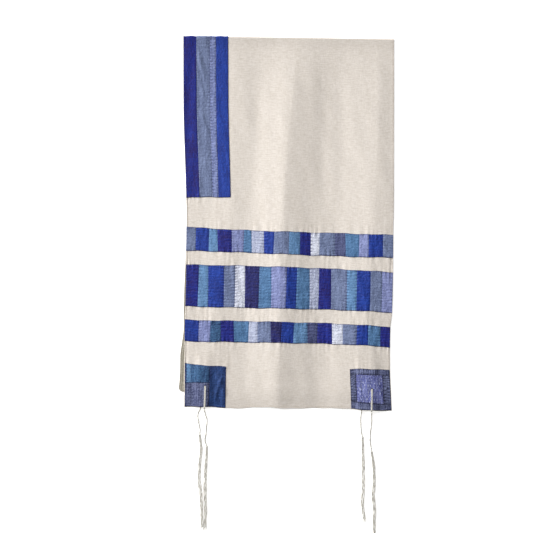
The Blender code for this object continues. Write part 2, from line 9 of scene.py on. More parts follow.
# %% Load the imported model
import math
import bpy
import numpy as np
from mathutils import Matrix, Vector


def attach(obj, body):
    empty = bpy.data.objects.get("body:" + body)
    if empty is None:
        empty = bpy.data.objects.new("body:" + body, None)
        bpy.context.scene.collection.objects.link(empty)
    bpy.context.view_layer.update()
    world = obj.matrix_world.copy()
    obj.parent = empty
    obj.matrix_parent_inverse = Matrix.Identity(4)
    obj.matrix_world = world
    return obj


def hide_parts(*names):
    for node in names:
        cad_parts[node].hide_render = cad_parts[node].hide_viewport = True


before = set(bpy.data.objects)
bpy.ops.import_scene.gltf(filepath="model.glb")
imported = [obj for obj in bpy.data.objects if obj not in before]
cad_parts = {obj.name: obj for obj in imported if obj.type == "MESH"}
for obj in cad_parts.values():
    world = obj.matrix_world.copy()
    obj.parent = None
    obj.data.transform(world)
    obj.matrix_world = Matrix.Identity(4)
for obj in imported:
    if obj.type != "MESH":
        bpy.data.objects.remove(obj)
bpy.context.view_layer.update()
MM = 0.001

# %% [markdown]
# ## The plan of the cloth
#
# A sewn cloth is easiest to describe by lines on it: the lines across are the edges of the bands and
# squares, and the lines down are the seams of the neckband and the sides of the squares. We could model
# the drape with a cloth simulation, but the shawl is laid out by hand and nearly flat, so a table of
# measured lines is truer. Every piece reads its place from these two tables.

# %% Lines across the cloth, from the fold to the hem, in mm
# the line's distance below the fold's left end, at four places across; the X of the two edges in front;
# how far the back layer slips to the left; the front layer's height at rest and over the tassel cords;
# and how strong the soft ridges are there
LINE_FIELDS = ("left", "fifth", "middle", "right", "left_x", "right_x", "slip", "rest", "over", "ridge")
LINES = {
    "fold":            (0.0,   0.6,   2.9,   6.5, -267.1, 267.7,  0.0, 6.2, 6.2, 0.1),
    "shoulder":        (28.0,  28.8,  31.3,  35.2, -267.1, 267.7,  0.0, 3.9, 3.9, 0.3),
    "neckband_middle": (158.6, 160.0, 162.5, 166.0, -266.8, 267.5,  0.0, 3.5, 3.5, 0.9),
    "neckband_end":    (407.3, 406.3, 411.0, 417.6, -259.8, 267.0,  0.0, 3.5, 3.5, 1.0),
    "upper_top":       (480.9, 487.5, 494.3, 502.2, -258.8, 265.5,  0.0, 3.5, 3.5, 1.0),
    "upper_bottom":    (542.0, 545.1, 552.2, 559.8, -259.8, 265.2,  0.0, 3.5, 3.5, 0.9),
    "middle_top":      (576.9, 578.9, 584.0, 596.9, -259.3, 264.8,  1.5, 3.5, 3.5, 0.9),
    "middle_bottom":   (682.8, 685.8, 689.4, 699.5, -261.5, 262.5,  3.5, 3.5, 3.5, 0.9),
    "lower_top":       (716.8, 719.4, 723.2, 735.4, -263.0, 258.3,  3.0, 3.5, 3.5, 0.9),
    "lower_bottom":    (771.4, 773.7, 776.2, 786.9, -263.4, 257.3,  2.8, 3.5, 3.5, 0.9),
    "square_top":      (826.5, 836.3, 841.5, 843.2, -264.0, 257.6,  8.7, 3.5, 5.6, 0.85),
    "inset_top":       (842.6, 850.0, 854.5, 858.0, -264.1, 258.0, 10.8, 3.5, 6.6, 0.8),
    "left_seam":       (876.0, 876.0, 877.0, 885.0, -264.2, 259.2, 11.3, 3.5, 6.8, 0.75),
    "eyelets":         (885.5, 885.5, 886.0, 897.0, -264.3, 259.8, 11.5, 3.5, 6.8, 0.75),
    "back_hem":        (911.6, 911.6, 909.6, 921.6, -264.6, 260.8, 12.6, 3.1, 6.9, 0.65),
    "inset_bottom":    (924.0, 926.0, 922.0, 934.0, -264.8, 261.3, 13.6, 2.1, 6.7, 0.6),
    "hem_line":        (935.7, 937.7, 938.3, 947.1, -265.0, 262.0, 14.0, 1.0, 6.4, 0.55),
    "square_end":      (937.5, 939.5, 940.1, 948.9, -265.0, 262.0, 14.0, 0.93, 6.4, 0.55),
    "hem":             (938.2, 940.2, 940.8, 949.6, -265.0, 262.0, 14.0, 0.9, 6.4, 0.55),
}
LINE = {field: np.array([row[k] for row in LINES.values()], float) for k, field in enumerate(LINE_FIELDS)}
DROP_SHARES = (0.0, 0.2, 0.54, 1.0)
RHO = {name: row[0] * MM for name, row in LINES.items()}     # a line is named by its distance on the left
HEM_RHO = RHO["hem"]
print("lines across:", len(LINES), "front layer", HEM_RHO, "m")

# %% Lines down the cloth, as shares of its width at the fold, the neckband's end and the hem
COLUMNS = {
    "left_edge":     (0.0,    0.0,    0.0),
    "left_hem":      (0.0015, 0.0015, 0.0015),
    "neck_seam_1":   (0.062,  0.065,  0.040),
    "left_cord":     (0.088,  0.088,  0.074),
    "left_eyelet":   (0.126,  0.127,  0.098),
    "neck_seam_3":   (0.155,  0.156,  0.117),
    "neckband_edge": (0.214,  0.2155, 0.199),
    "right_square":  (0.804,  0.804,  0.804),
    "inset_left":    (0.8325, 0.8325, 0.8325),
    "right_cord":    (0.855,  0.855,  0.855),
    "right_eyelet":  (0.907,  0.907,  0.907),
    "inset_right":   (0.9635, 0.9635, 0.9635),
    "right_hem":     (0.9985, 0.9985, 0.9985),
    "right_edge":    (1.0,    1.0,    1.0),
}
STOPS = np.array([0.0, LINES["neckband_end"][0], LINES["hem"][0]]) * MM
CUT_WIDTH = 0.533
BACK_SHORTER = 38 * MM
FOLD_ABOVE_ORIGIN = 297.6 * MM
FOLD_BULGE = 2 * MM
ROLL = 12 * MM                                   # length of cloth in the roll of the fold

# %% [markdown]
# ## From the tables to a surface
#
# A smooth curve through a table's rows must not swing past them, or a hem would bulge where the table
# is flat. A monotone cubic keeps between its neighbours, so it is the right curve here. The cloth's
# middle surface is then a function of two numbers: the distance along the cloth, which is negative in
# front and positive behind the fold, and the share of its width. Every relief in this lesson is made
# from four more simple shapes: a soft step, a soft plateau, a bell and a sine wave.

# %% A monotone cubic through a few points
def glide(x, known_x, known_y):
    """Cubic pieces through the known points, each slope the harmonic mean of the slopes beside it."""
    known_x, known_y = np.asarray(known_x, float), np.asarray(known_y, float)
    gap = np.diff(known_x)
    slope = np.diff(known_y) / gap
    before, after = slope[:-1], slope[1:]
    same_way = before * after > 0
    mean = np.where(same_way, 2 * before * after / np.where(same_way, before + after, 1), 0)
    tangent = np.concatenate([slope[:1], mean, slope[-1:]])
    piece = np.clip(np.searchsorted(known_x, x, side="right") - 1, 0, len(gap) - 1)
    t = np.clip((x - known_x[piece]) / gap[piece], 0, 1)
    return ((1 + 2 * t) * (1 - t) ** 2 * known_y[piece] + t ** 2 * (3 - 2 * t) * known_y[piece + 1]
            + gap[piece] * (t * (1 - t) ** 2 * tangent[piece] - t ** 2 * (1 - t) * tangent[piece + 1]))

print("half way between two points:", float(glide(0.5, (0, 1), (0, 1))))

# %% Other simple shapes
def ramp(x, start, end):
    """0 before start, 1 after end, and a smooth step 3t^2 - 2t^3 between them."""
    t = np.clip((x - start) / (end - start), 0, 1)
    return t * t * (3 - 2 * t)


def plateau(x, rise_start, rise_end, fall_start, fall_end):
    """0, then a smooth step up to 1, then a smooth step down to 0 again."""
    return ramp(x, rise_start, rise_end) * (1 - ramp(x, fall_start, fall_end))


def bell(x, width):
    """exp(-(x / width)^2): 1 at x = 0, and nothing a few widths away."""
    return np.exp(-(x / width) ** 2)


def sine(x, length, phase=0.0):
    """A sine wave of the given length."""
    return np.sin(2 * math.pi * x / length + phase)


def unit(vectors):
    """The same vectors, each made one long."""
    return vectors / np.maximum(np.linalg.norm(vectors, axis=-1, keepdims=True), 1e-9)

print("a quarter of the way up, a soft step is at", float(ramp(0.25, 0, 1)))

# %% Reading the tables
def line_value(field, rho):
    """A field of the table of lines at the distance rho, in metres."""
    return glide(rho, LINE["left"] * MM, LINE[field]) * (1 if field == "ridge" else MM)


def column_share(name, rho):
    """A named column's share of the width at the distance rho."""
    return np.interp(rho, STOPS, COLUMNS[name])


def drop_at(rho, share):
    """How far points lie below the fold's left end: the cubic through the four drops of their line."""
    drops = [np.interp(rho, LINE["left"] * MM, LINE[field])[:, None] * MM for field in LINE_FIELDS[:4]]
    total = 0
    for k, drop in enumerate(drops):
        weight = 1
        for other in DROP_SHARES:
            if other != DROP_SHARES[k]:
                weight = weight * (share - other) / (DROP_SHARES[k] - other)
        total = total + weight * drop
    return total

print("hem drop at the middle", round(float(drop_at(np.array([HEM_RHO]), np.array([[0.5]]))[0, 0]), 4))

# %% [markdown]
# The front layer carries the folds that show: three soft ridges running down it, which the eye reads as
# drape, and small crinkles that raw silk keeps from being packed. A ridge is shaped like a tent, because
# cloth falls almost straight from a crease to where it lies flat, and so each side of it has one even
# shade. The crinkles are a sum of simple waves. The layer also rises over the tassel cords that lie
# under its corners.

# %% Folds of the front layer
# X of the crest at the fold, the neckband's end and the hem, its height, and its reach each way, in mm
RIDGES = (
    {"x": (20, -14, -29), "height": 11.5, "reach": (80, 95)},
    {"x": (222, 219, 160), "height": 6.5, "reach": (84, 110)},
    {"x": (-140, -150, -225), "height": 3.0, "reach": (60, 80)},
)
CREST_ROUNDING = (24, 7, 5)            # how soft the crests are at the same three places, in mm
FOOT_SOFTNESS = 0.02                   # how soft their feet are
CRINKLES = 16
_draw = np.random.default_rng(7)
CRINKLE_LENGTH = _draw.uniform(24, 95, CRINKLES) * MM
CRINKLE_ANGLE = _draw.normal(0, 0.42, CRINKLES)
CRINKLE_PHASE = _draw.uniform(0, 2 * math.pi, CRINKLES)
CRINKLE_STEEPNESS = 0.0018             # height of each crinkle as a share of its length
CORD_RISE = (0.036, 0.004)             # the cloth rises over this stretch to the left of the cords,
CORD_FALL = (0.006, 0.046)             # and falls over this one to their right, as shares of the width


def ridges(x, drop):
    """Sum of tents: each falls evenly from a soft crest to a soft foot at its reach."""
    height = 0
    rounding = np.interp(drop, STOPS, CREST_ROUNDING) * MM
    for ridge in RIDGES:
        away = x - glide(drop, STOPS, np.array(ridge["x"]) * MM)
        reach = np.where(away < 0, ridge["reach"][0], ridge["reach"][1]) * MM
        above_foot = 1 - np.sqrt(away ** 2 + rounding ** 2) / reach
        height = height + ridge["height"] * MM * (above_foot + np.sqrt(above_foot ** 2 + FOOT_SOFTNESS)) / 2
    return height


def crinkles(x, y):
    """Sum of sine waves whose crests run mostly down the cloth."""
    height = 0
    for length, angle, phase in zip(CRINKLE_LENGTH, CRINKLE_ANGLE, CRINKLE_PHASE):
        along = x * math.cos(angle) + y * math.sin(angle)
        height = height + CRINKLE_STEEPNESS * length * sine(along, length, phase)
    return height


def over_cords(rho, share):
    """1 over the tassel cords under the corners, and 0 a few centimetres to each side."""
    total = 0
    for side in ("left", "right"):
        rise = [column_share(f"{side}_cord", rho)[:, None] - step for step in CORD_RISE]
        fall = [column_share(f"{side}_eyelet", rho)[:, None] + step for step in CORD_FALL]
        total = total + plateau(share, *rise, *fall)
    return total

print("crinkles", CRINKLES, "highest ridge", max(ridge["height"] for ridge in RIDGES), "mm")

# %% [markdown]
# The back layer lies on the table with its right side down. It is flat, and steps up by the thickness
# of whatever is sewn on its underside. In both layers the bare cloth beside a seam is gathered by the
# seam's thread, which leaves short ripples square to it.

# %% Thicknesses, and where the pieces are sewn
CLOTH_HALF = 0.42 * MM                 # half the cloth's thickness
SEAM_GAP = 0.06 * MM                   # air under a sewn piece
PATCH_WALL = 0.75 * MM                 # a sewn piece with its turned edges
SEWN_LIFT = SEAM_GAP + PATCH_WALL
LOOP_ROOM = 1.5 * MM                   # room under the back layer for the tassels' loops
HEM_WIDTH = 3.9 * MM
HEM_EXTRA = 0.38 * MM                  # half of what the hem's fold adds
# pieces on the back end: top line, bottom line, left and right column
BACK_SEWN = (
    ("fold", "neckband_end", "left_edge", "neckband_edge"),
    ("upper_top", "upper_bottom", "left_edge", "right_edge"),
    ("middle_top", "middle_bottom", "left_edge", "right_edge"),
    ("lower_top", "lower_bottom", "left_edge", "right_edge"),
    ("square_top", "hem", "left_hem", "neckband_edge"),
    ("square_top", "hem", "right_square", "right_hem"),
)
STEP_SOFT = 7 * MM                     # the cloth takes this far to step up beside a sewn piece
STEP_START = 1 * MM                    # and starts this far above or below it,
SIDE_START = 0.002                     # or this share of the width beside it
LOOP_HALF_SHARE = 0.022                # half width of the room over a tassel's loop, as a share of the width


def back_height(rho, share):
    """Half the cloth's thickness, plus the lift of what is sewn below, plus room for the tassel loops."""
    sewn = 0
    for top, bottom, left, right in BACK_SEWN:
        along = plateau(rho, RHO[top] - STEP_SOFT, RHO[top] - STEP_START,
                        RHO[bottom] + STEP_START, RHO[bottom] + STEP_SOFT)
        low, high = column_share(left, rho)[:, None], column_share(right, rho)[:, None]
        soft = STEP_SOFT / CUT_WIDTH
        across = plateau(share, low - soft, low - SIDE_START, high + SIDE_START, high + soft)
        sewn = np.maximum(sewn, along[:, None] * across)
    loops = sum(bell(share - column_share(name, rho)[:, None], LOOP_HALF_SHARE)
                for name in ("left_eyelet", "right_eyelet"))
    loops = loops * ramp(rho, RHO["inset_top"], RHO["eyelets"])[:, None]
    return CLOTH_HALF + sewn * SEWN_LIFT + loops * LOOP_ROOM

print("pieces on the back end:", len(BACK_SEWN), "each lifts it by", round(SEWN_LIFT, 5), "m")

# %% The turned hem, small waves, and gathers at the seams
def hem_fold(edge):
    """Extra half thickness of the turned hem, at a distance from the cloth's edge."""
    return HEM_EXTRA * (1 - ramp(edge, HEM_WIDTH - 0.5 * MM, HEM_WIDTH + 0.4 * MM))


def from_edge(s, share):
    """Distance to the nearest edge of the cloth as it was cut, for lines s and shares across."""
    end = np.where(s <= 0, HEM_RHO + s, HEM_RHO + ROLL - s)
    return np.minimum(np.minimum(share, 1 - share) * CUT_WIDTH, end[:, None])


def hand_laid(x, rho):
    """Small waves of the lines across, growing from the fold to the hem, as a hand leaves them."""
    waves = 0.7 * sine(x, 0.117, 9 * rho) + 0.45 * sine(x, 0.051, 23 * rho + 1)
    hem_wave = 1.3 * sine(x + 0.19, 0.171)
    return MM * (waves * ramp(rho, 0.1, 0.5) + hem_wave * ramp(rho, 0.86, HEM_RHO))


# seams that gather the cloth: their line, and the X in m they run from and to
GATHERED = (
    ("neckband_end", -0.30, -0.13), ("upper_top", -0.30, 0.30), ("upper_bottom", -0.30, 0.30),
    ("middle_top", -0.30, 0.30), ("middle_bottom", -0.30, 0.30), ("lower_top", -0.30, 0.30),
    ("lower_bottom", -0.30, 0.30), ("square_top", -0.30, -0.14), ("square_top", 0.15, 0.30),
)
GATHER = 0.85 * MM                     # how high the seams' small gathers stand,
GATHER_LENGTH = 15 * MM                # how far apart they are,
GATHER_REACH = 11 * MM                 # how far they run from a seam,
GATHER_FINE = (0.12, 0.6135)           # and a finer ripple on them: its height and length as shares


def gathers(x, rho):
    """Short ripples square to each seam, 10 to 35 mm apart along it and fading away from it."""
    height = 0
    for number, (line, low, high) in enumerate(GATHERED):
        fade = np.exp(-np.abs(rho - RHO[line]) / GATHER_REACH)
        fade = fade * plateau(x, low, low + GATHER_LENGTH, high - GATHER_LENGTH, high)
        run = x / GATHER_LENGTH + 0.5 * sine(x, 0.083, 2.1 * number) + 0.37 * number
        patchy = 0.65 + 0.35 * sine(x, 0.131, 4.7 * number)
        height = height + GATHER * fade * patchy * (sine(run, 1) + GATHER_FINE[0] * sine(run, GATHER_FINE[1]))
    return height

print("seams that gather the cloth:", len(GATHERED))

# %% The front layer, and the one behind it
BACK_CORNER = 12 * MM                  # size of the rounding of the back layer's lower left corner


def rounded_corner(x, drop, side, end):
    """Draw a square of cloth in to a quarter disc: side and end run from 0 inside it to 1 at its edges."""
    return (x + BACK_CORNER * side * (1 - np.sqrt(1 - end ** 2 / 2)),
            drop - BACK_CORNER * end * (1 - np.sqrt(1 - side ** 2 / 2)))


def layer(rho, share, behind):
    """Middle points of the front layer, or of the layer behind it, at distances rho and shares across."""
    left = line_value("left_x", rho)[:, None]
    right = line_value("right_x", rho)[:, None]
    x = left + share * (right - left)
    drop = drop_at(rho, share) + hand_laid(x, rho[:, None])
    if behind:
        side = np.clip(1 - (x - left) / BACK_CORNER, 0, 1)
        end = np.clip(1 - (HEM_RHO - rho[:, None]) / BACK_CORNER, 0, 1)
        x = x - line_value("slip", rho)[:, None]
        fold_drop = drop_at(np.zeros(1), share)
        drop = drop - BACK_SHORTER * np.clip((drop - fold_drop) / RHO["neckband_end"], 0, 1)
        z = back_height(rho, share) + np.maximum(gathers(x, rho[:, None]), 0)
        x, drop = rounded_corner(x, drop, side, end)
    else:
        rest, over = line_value("rest", rho)[:, None], line_value("over", rho)[:, None]
        strength = line_value("ridge", rho)[:, None]
        z = rest + (over - rest) * over_cords(rho, share) + strength * (ridges(x, drop) + crinkles(x, drop))
        z = np.maximum(z + gathers(x, rho[:, None]), CLOTH_HALF)
    return np.stack([x, FOLD_ABOVE_ORIGIN - drop, z], axis=-1)

for is_behind in (False, True):
    place = layer(np.array([HEM_RHO]), np.array([[0.5]]), is_behind)[0, 0]
    print("middle of the hem", "behind" if is_behind else "in front", np.round(place, 4))

# %% The middle surface of the whole cloth
PRESSED = 0.03 * MM                    # nothing lies lower than this


def middle(s, share):
    """Middle points at distances s along the cloth: -s is rho in front, s - ROLL is rho behind.

    Between them the cloth turns over the fold, on half an ellipse that joins the two layers.
    """
    points = np.zeros(share.shape + (3,))
    in_front, behind = s <= 0, s >= ROLL
    turning = ~(in_front | behind)
    points[in_front] = layer(-s[in_front], share[in_front], False)
    points[behind] = layer(s[behind] - ROLL, share[behind], True)
    if turning.any():
        none = np.zeros(turning.sum())
        top, low = layer(none, share[turning], False), layer(none, share[turning], True)
        turn = (math.pi * s[turning] / ROLL)[:, None]
        centre, half = (top + low) / 2, (top[..., 2] - low[..., 2]) / 2
        points[turning] = np.stack([centre[..., 0], centre[..., 1] + FOLD_BULGE * np.sin(turn),
                                    centre[..., 2] + half * np.cos(turn)], axis=-1)
    return points


def place_on(layer_name, rho):
    """The distance along the whole cloth of a place rho from the fold, in front or on the back layer."""
    return -rho if layer_name == "front" else rho + ROLL


def outward(s):
    """The way out of the cloth's right side: up in front, down behind, and turning over the fold."""
    turn = np.clip(s / ROLL, 0, 1) * math.pi
    return np.stack([np.zeros_like(turn), np.sin(turn), np.cos(turn)], axis=-1)


def sheet_points(s, share, out):
    """Points at a distance out of the cloth's middle, pressed flat where they would go into the table."""
    out = np.asarray(out, float)
    out = out[..., None] if out.ndim else out
    points = middle(s, share) + outward(s)[:, None, :] * out
    points[..., 2] = np.maximum(points[..., 2], PRESSED)
    return points

print("fold is at Y", np.round(middle(np.array([ROLL / 2]), np.array([[0.5]]))[0, 0], 4))

# %% [markdown]
# ## Making a wall of cloth
#
# Real cloth has two faces and an edge. Solidify could thicken a sheet, but a hem is thicker than the
# cloth, and a sewn piece is flat below and puffed above, so the two faces are given as two grids and
# joined by a rounded rim. Each vertex also keeps its place on the uncut cloth as a UV in metres, which
# lets the weave follow the cloth.

# %% Two grids to one closed piece
def wall_piece(name, outer, inner, uv, rim=0.25 * MM, seam=None):
    """A closed wall: the outer grid, the inner grid behind it, and a rim that bulges by rim between them.

    seam is kept on the mesh for its material as painted shade: 1 where it is darkest and 0 where none is
    painted.
    """
    rows, cols = outer.shape[:2]
    count = rows * cols
    index = np.arange(count).reshape(rows, cols)
    border = np.concatenate([index[0, :-1], index[:-1, -1], index[-1, :0:-1], index[:0:-1, 0]])
    flat_outer, flat_inner, flat_uv = outer.reshape(-1, 3), inner.reshape(-1, 3), uv.reshape(-1, 2)
    rows_in = np.clip(np.arange(rows), 1, rows - 2)
    cols_in = np.clip(np.arange(cols), 1, cols - 2)
    inside = index[rows_in][:, cols_in].reshape(-1)[border]
    half_way = (flat_outer + flat_inner) / 2
    edge = half_way[border] + unit(half_way[border] - half_way[inside]) * rim
    points = np.concatenate([flat_outer, flat_inner, edge])
    uvs = np.concatenate([flat_uv, flat_uv, flat_uv[border]])
    top = np.stack([index[:-1, :-1], index[:-1, 1:], index[1:, 1:], index[1:, :-1]], -1).reshape(-1, 4)
    low = top[:, ::-1] + count
    ring = np.arange(len(border)) + 2 * count
    border_next, ring_next = np.roll(border, -1), np.roll(ring, -1)
    rim_top = np.stack([border, ring, ring_next, border_next], -1)
    rim_low = np.stack([ring, border + count, border_next + count, ring_next], -1)
    faces = np.concatenate([top, low, rim_top, rim_low])
    piece = mesh_piece(name, points, faces, uvs)
    if seam is not None:
        flat_seam = seam.reshape(-1)
        keep_painted_shade(piece, np.concatenate([flat_seam, flat_seam, flat_seam[border]]))
    return piece, len(top)


def keep_painted_shade(piece, values):
    """Keep one value from 0 to 1 for each vertex, as the seam attribute: painted shade that its material
    darkens by.
    """
    kept = piece.data.attributes.new("seam", "FLOAT", "POINT")
    kept.data.foreach_set("value", np.asarray(values, np.float32))


def mesh_piece(name, points, faces, uvs=None):
    """An object of quads or triangles, smooth, at the origin, with its UV map named cloth."""
    mesh = bpy.data.meshes.new(name)
    sides = faces.shape[1]
    mesh.vertices.add(len(points))
    mesh.vertices.foreach_set("co", np.ascontiguousarray(points, np.float32).ravel())
    mesh.loops.add(faces.size)
    mesh.loops.foreach_set("vertex_index", np.ascontiguousarray(faces, np.int32).ravel())
    mesh.polygons.add(len(faces))
    mesh.polygons.foreach_set("loop_start", np.arange(0, faces.size, sides, dtype=np.int32))
    mesh.update(calc_edges=True)
    mesh.validate()
    if uvs is not None:
        layer_uv = mesh.uv_layers.new(name="cloth")
        layer_uv.data.foreach_set("uv", uvs[faces.ravel()].astype(np.float32).ravel())
    mesh.shade_smooth()
    piece = bpy.data.objects.new(name, mesh)
    bpy.context.scene.collection.objects.link(piece)
    return piece


def dress(piece, materials, slot, *nodes):
    """Give a finished piece its materials, let it ride, and let it stand for CAD nodes. slot is not used."""
    for material in materials:
        piece.data.materials.append(material)
    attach(piece, "root")
    if nodes:
        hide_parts(*nodes)
    return piece

# %% [markdown]
# ## Finishes
#
# Silk is a protein fibre with a clear, glassy surface, so it has a low sheen even when undyed. Dupion is
# woven from uneven threads, and its slubs show as short thick streaks. The ivory cloth is raw silk, spun
# from short fibres, which is duller and nubbly. Warp and weft often differ in colour, so each silk mixes
# two colours by the pattern of its threads. All patterns are set by real sizes and read the UV map, which
# is in metres. Threads of 0.45 mm are too fine to show in a whole view, so the slubs carry the look
# there, and the weave appears close up.

# %% Colour and node helpers
def linear(hex_colour, gain=1.0):
    """An sRGB hex value as linear red, green, blue and alpha."""
    channels = [int(hex_colour[k:k + 2], 16) / 255 for k in (0, 2, 4)]
    light = [c / 12.92 if c <= 0.04045 else ((c + 0.055) / 1.055) ** 2.4 for c in channels]
    return [min(c * gain, 1.0) for c in light] + [1.0]


def node(tree, kind, settings=(), links=()):
    """Add a node; settings are its properties and input values, and links join its inputs to outputs."""
    made = tree.nodes.new(kind)
    for name, value in dict(settings).items():
        if isinstance(name, int) or not hasattr(made, name):
            made.inputs[name].default_value = value
        else:
            setattr(made, name, value)
    for name, source in dict(links).items():
        tree.links.new(source, made.inputs[name])
    return made


def blank(name):
    """A new material with nodes, its tree, and its Principled shader."""
    material = bpy.data.materials.new(name)
    material.use_nodes = True
    return material, material.node_tree, material.node_tree.nodes["Principled BSDF"]

print("ivory is", [round(c, 3) for c in linear("E1D8CF")])

# %% Patterns by their real size
def noise(tree, place, size, detail=3.0):
    """Noise whose grains have a size: across and along, in metres."""
    scaled = node(tree, "ShaderNodeMapping", {"Scale": (1 / size[0], 1 / size[1], 1)}, {"Vector": place})
    return node(tree, "ShaderNodeTexNoise", {"Scale": 1.0, "Detail": detail, "Roughness": 0.55},
                {"Vector": scaled.outputs["Vector"]}).outputs["Fac"]


def weighted(tree, *terms):
    """The sum of weight x value over pairs of an output and its weight."""
    total = None
    for value, weight in terms:
        term = node(tree, "ShaderNodeMath", {"operation": "MULTIPLY_ADD", 1: weight, 2: 0.0}, {0: value})
        if total is not None:
            tree.links.new(total, term.inputs[2])
        total = term.outputs[0]
    return total


def combined(tree, operation, value, other):
    """Two values added or multiplied; the second is a number or an output. A sum is kept from 0 to 1."""
    settings, links = {"operation": operation, "use_clamp": operation == "ADD"}, {0: value}
    (settings if isinstance(other, float) else links)[1] = other
    return node(tree, "ShaderNodeMath", settings, links).outputs[0]


def mixed(tree, share, first, second):
    """Two colours mixed by an output from 0 to 1; the first is a colour or an output."""
    settings, links = {"data_type": "RGBA", 7: second}, {0: share}
    (settings if isinstance(first, list) else links)[6] = first
    return node(tree, "ShaderNodeMix", settings, links).outputs[2]


def bump(tree, shader, height, strength, distance):
    """Tilt the shader's normals by a height."""
    bumped = node(tree, "ShaderNodeBump", {"Strength": strength, "Distance": distance}, {"Height": height})
    tree.links.new(bumped.outputs["Normal"], shader.inputs["Normal"])

print("a grain 2 mm wide has the scale", 1 / (2 * MM))

# %% Woven silk
THREAD = 0.45 * MM                     # thread spacing of the weave
WEAVE_SCALE = 1 / (3.18 * THREAD)      # a wave texture repeats every pi / 10 over its scale
NUB = (1.6 * MM, 1.3 * MM)             # across and along: size of the weave's grains,
SPECK = (3.4 * MM, 3.0 * MM)           # of small spots and broad clouds in its colour,
CLOUD = (30 * MM, 55 * MM)
FLECK = (1.9 * MM, 9.0 * MM)           # and of glints painted into a crushed silk's colour
SLUB_WEIGHT, FIBRE_WEIGHT = 3.6, 1.2   # how much the slubs and their fine fibres show in the colour


def woven_silk(name, warp, weft, slub=(2.6 * MM, 50 * MM), roughness=0.5, sheen=0.02, painted_shade_tone=("1E2050", 0.75),
               heights=(0.34, 0.40, 0.05, 1.5), rumple=(5.5 * MM, 7 * MM), cross=0.4, mottle=1.8, cloud=1.6,
               glints=None):
    """Silk woven from two colours of thread, the warp's and the weft's, as sRGB hex values.

    slub is the width and length of the thick threads, and cross the share of them that run the other
    way. mottle and cloud are how blotchy it is, in small spots and in broad ones. heights are, in mm,
    those of the slubs, the nubs, the weave and the rumples, whose size is rumple. The painted shade tone
    is the colour that painted shade darkens towards, and how far: the shade at seams, edges and pucker
    troughs that the seam attribute holds. glints is the colour of glints painted into a crushed silk's
    colour as small light spots.
    """
    material, tree, shader = blank(name)
    uv_place = node(tree, "ShaderNodeUVMap", {"uv_map": "cloth"}).outputs["UV"]
    shift = (0.31 * len(bpy.data.materials), 0.17 * len(bpy.data.materials), 0)
    place = node(tree, "ShaderNodeMapping", {"Location": shift}, {"Vector": uv_place}).outputs["Vector"]
    slubs = noise(tree, place, slub)
    fibres = noise(tree, place, (0.4 * slub[0], 0.7 * slub[1]))
    crossing = noise(tree, place, slub[::-1])
    slubs = weighted(tree, (slubs, 1 - cross), (crossing, cross))
    nubs = noise(tree, place, NUB, 2.0)
    specks = noise(tree, place, SPECK, 1.0)
    broad = noise(tree, place, CLOUD, 2.0)
    rumples = noise(tree, place, rumple, 1.5)
    # the weights stretch the noises, which stay near 0.5, and the sum is moved back to 0.5
    showing = weighted(tree, (slubs, SLUB_WEIGHT), (fibres, FIBRE_WEIGHT), (specks, mottle), (broad, cloud))
    middle_value = 0.5 * (SLUB_WEIGHT + FIBRE_WEIGHT + mottle + cloud)
    showing = combined(tree, "ADD", showing, 0.5 - middle_value)
    colour = mixed(tree, showing, linear(warp), linear(weft))
    # painted highlight: glints mixed into the colour as small light spots
    if glints:
        flecks = noise(tree, place, FLECK, 2.0)
        lit = node(tree, "ShaderNodeMapRange", {"From Min": 0.56, "From Max": 0.66}, {"Value": flecks})
        colour = mixed(tree, lit.outputs["Result"], colour, linear(glints))
    # painted shade: the colour is darkened towards the painted shade tone as far as the mesh's seam attribute
    # says
    seam = node(tree, "ShaderNodeAttribute", {"attribute_name": "seam"}).outputs["Fac"]
    shaded = combined(tree, "MULTIPLY", seam, painted_shade_tone[1])
    tree.links.new(mixed(tree, shaded, colour, linear(painted_shade_tone[0])), shader.inputs["Base Color"])
    waves = [node(tree, "ShaderNodeTexWave", {"wave_type": "BANDS", "bands_direction": direction,
                                              "Scale": WEAVE_SCALE, "Distortion": 0.0}, {"Vector": place})
             for direction in ("X", "Y")]
    weave = combined(tree, "MULTIPLY", waves[0].outputs["Fac"], waves[1].outputs["Fac"])
    bump(tree, shader, weighted(tree, *zip((slubs, nubs, weave, rumples), heights)), 1.0, MM)
    gloss = node(tree, "ShaderNodeMapRange", {"To Min": roughness - 0.06, "To Max": roughness + 0.08},
                 {"Value": slubs})
    tree.links.new(gloss.outputs["Result"], shader.inputs["Roughness"])
    shader.inputs["IOR"].default_value = 1.5
    shader.inputs["Specular IOR Level"].default_value = 0.24
    shader.inputs["Sheen Weight"].default_value = sheen
    shader.inputs["Sheen Roughness"].default_value = 0.4
    return material

print("threads in a centimetre of silk:", round(0.01 / THREAD))

# %% The silks of this shawl
# with each finish comes the colour that its painted shade darkens towards, and how far
RAW = {"slub": (16 * MM, 2.6 * MM), "roughness": 0.7, "sheen": 0.04, "painted_shade_tone": ("8A7C6C", 0.6), "cross": 0.3,
       "heights": (0.18, 0.14, 0.04, 0.42), "rumple": (8 * MM, 10 * MM), "mottle": 0.8, "cloud": 0.5}
RAW_SILK = woven_silk("raw_silk_ivory", "D3CABF", "E4DCD4", **RAW)
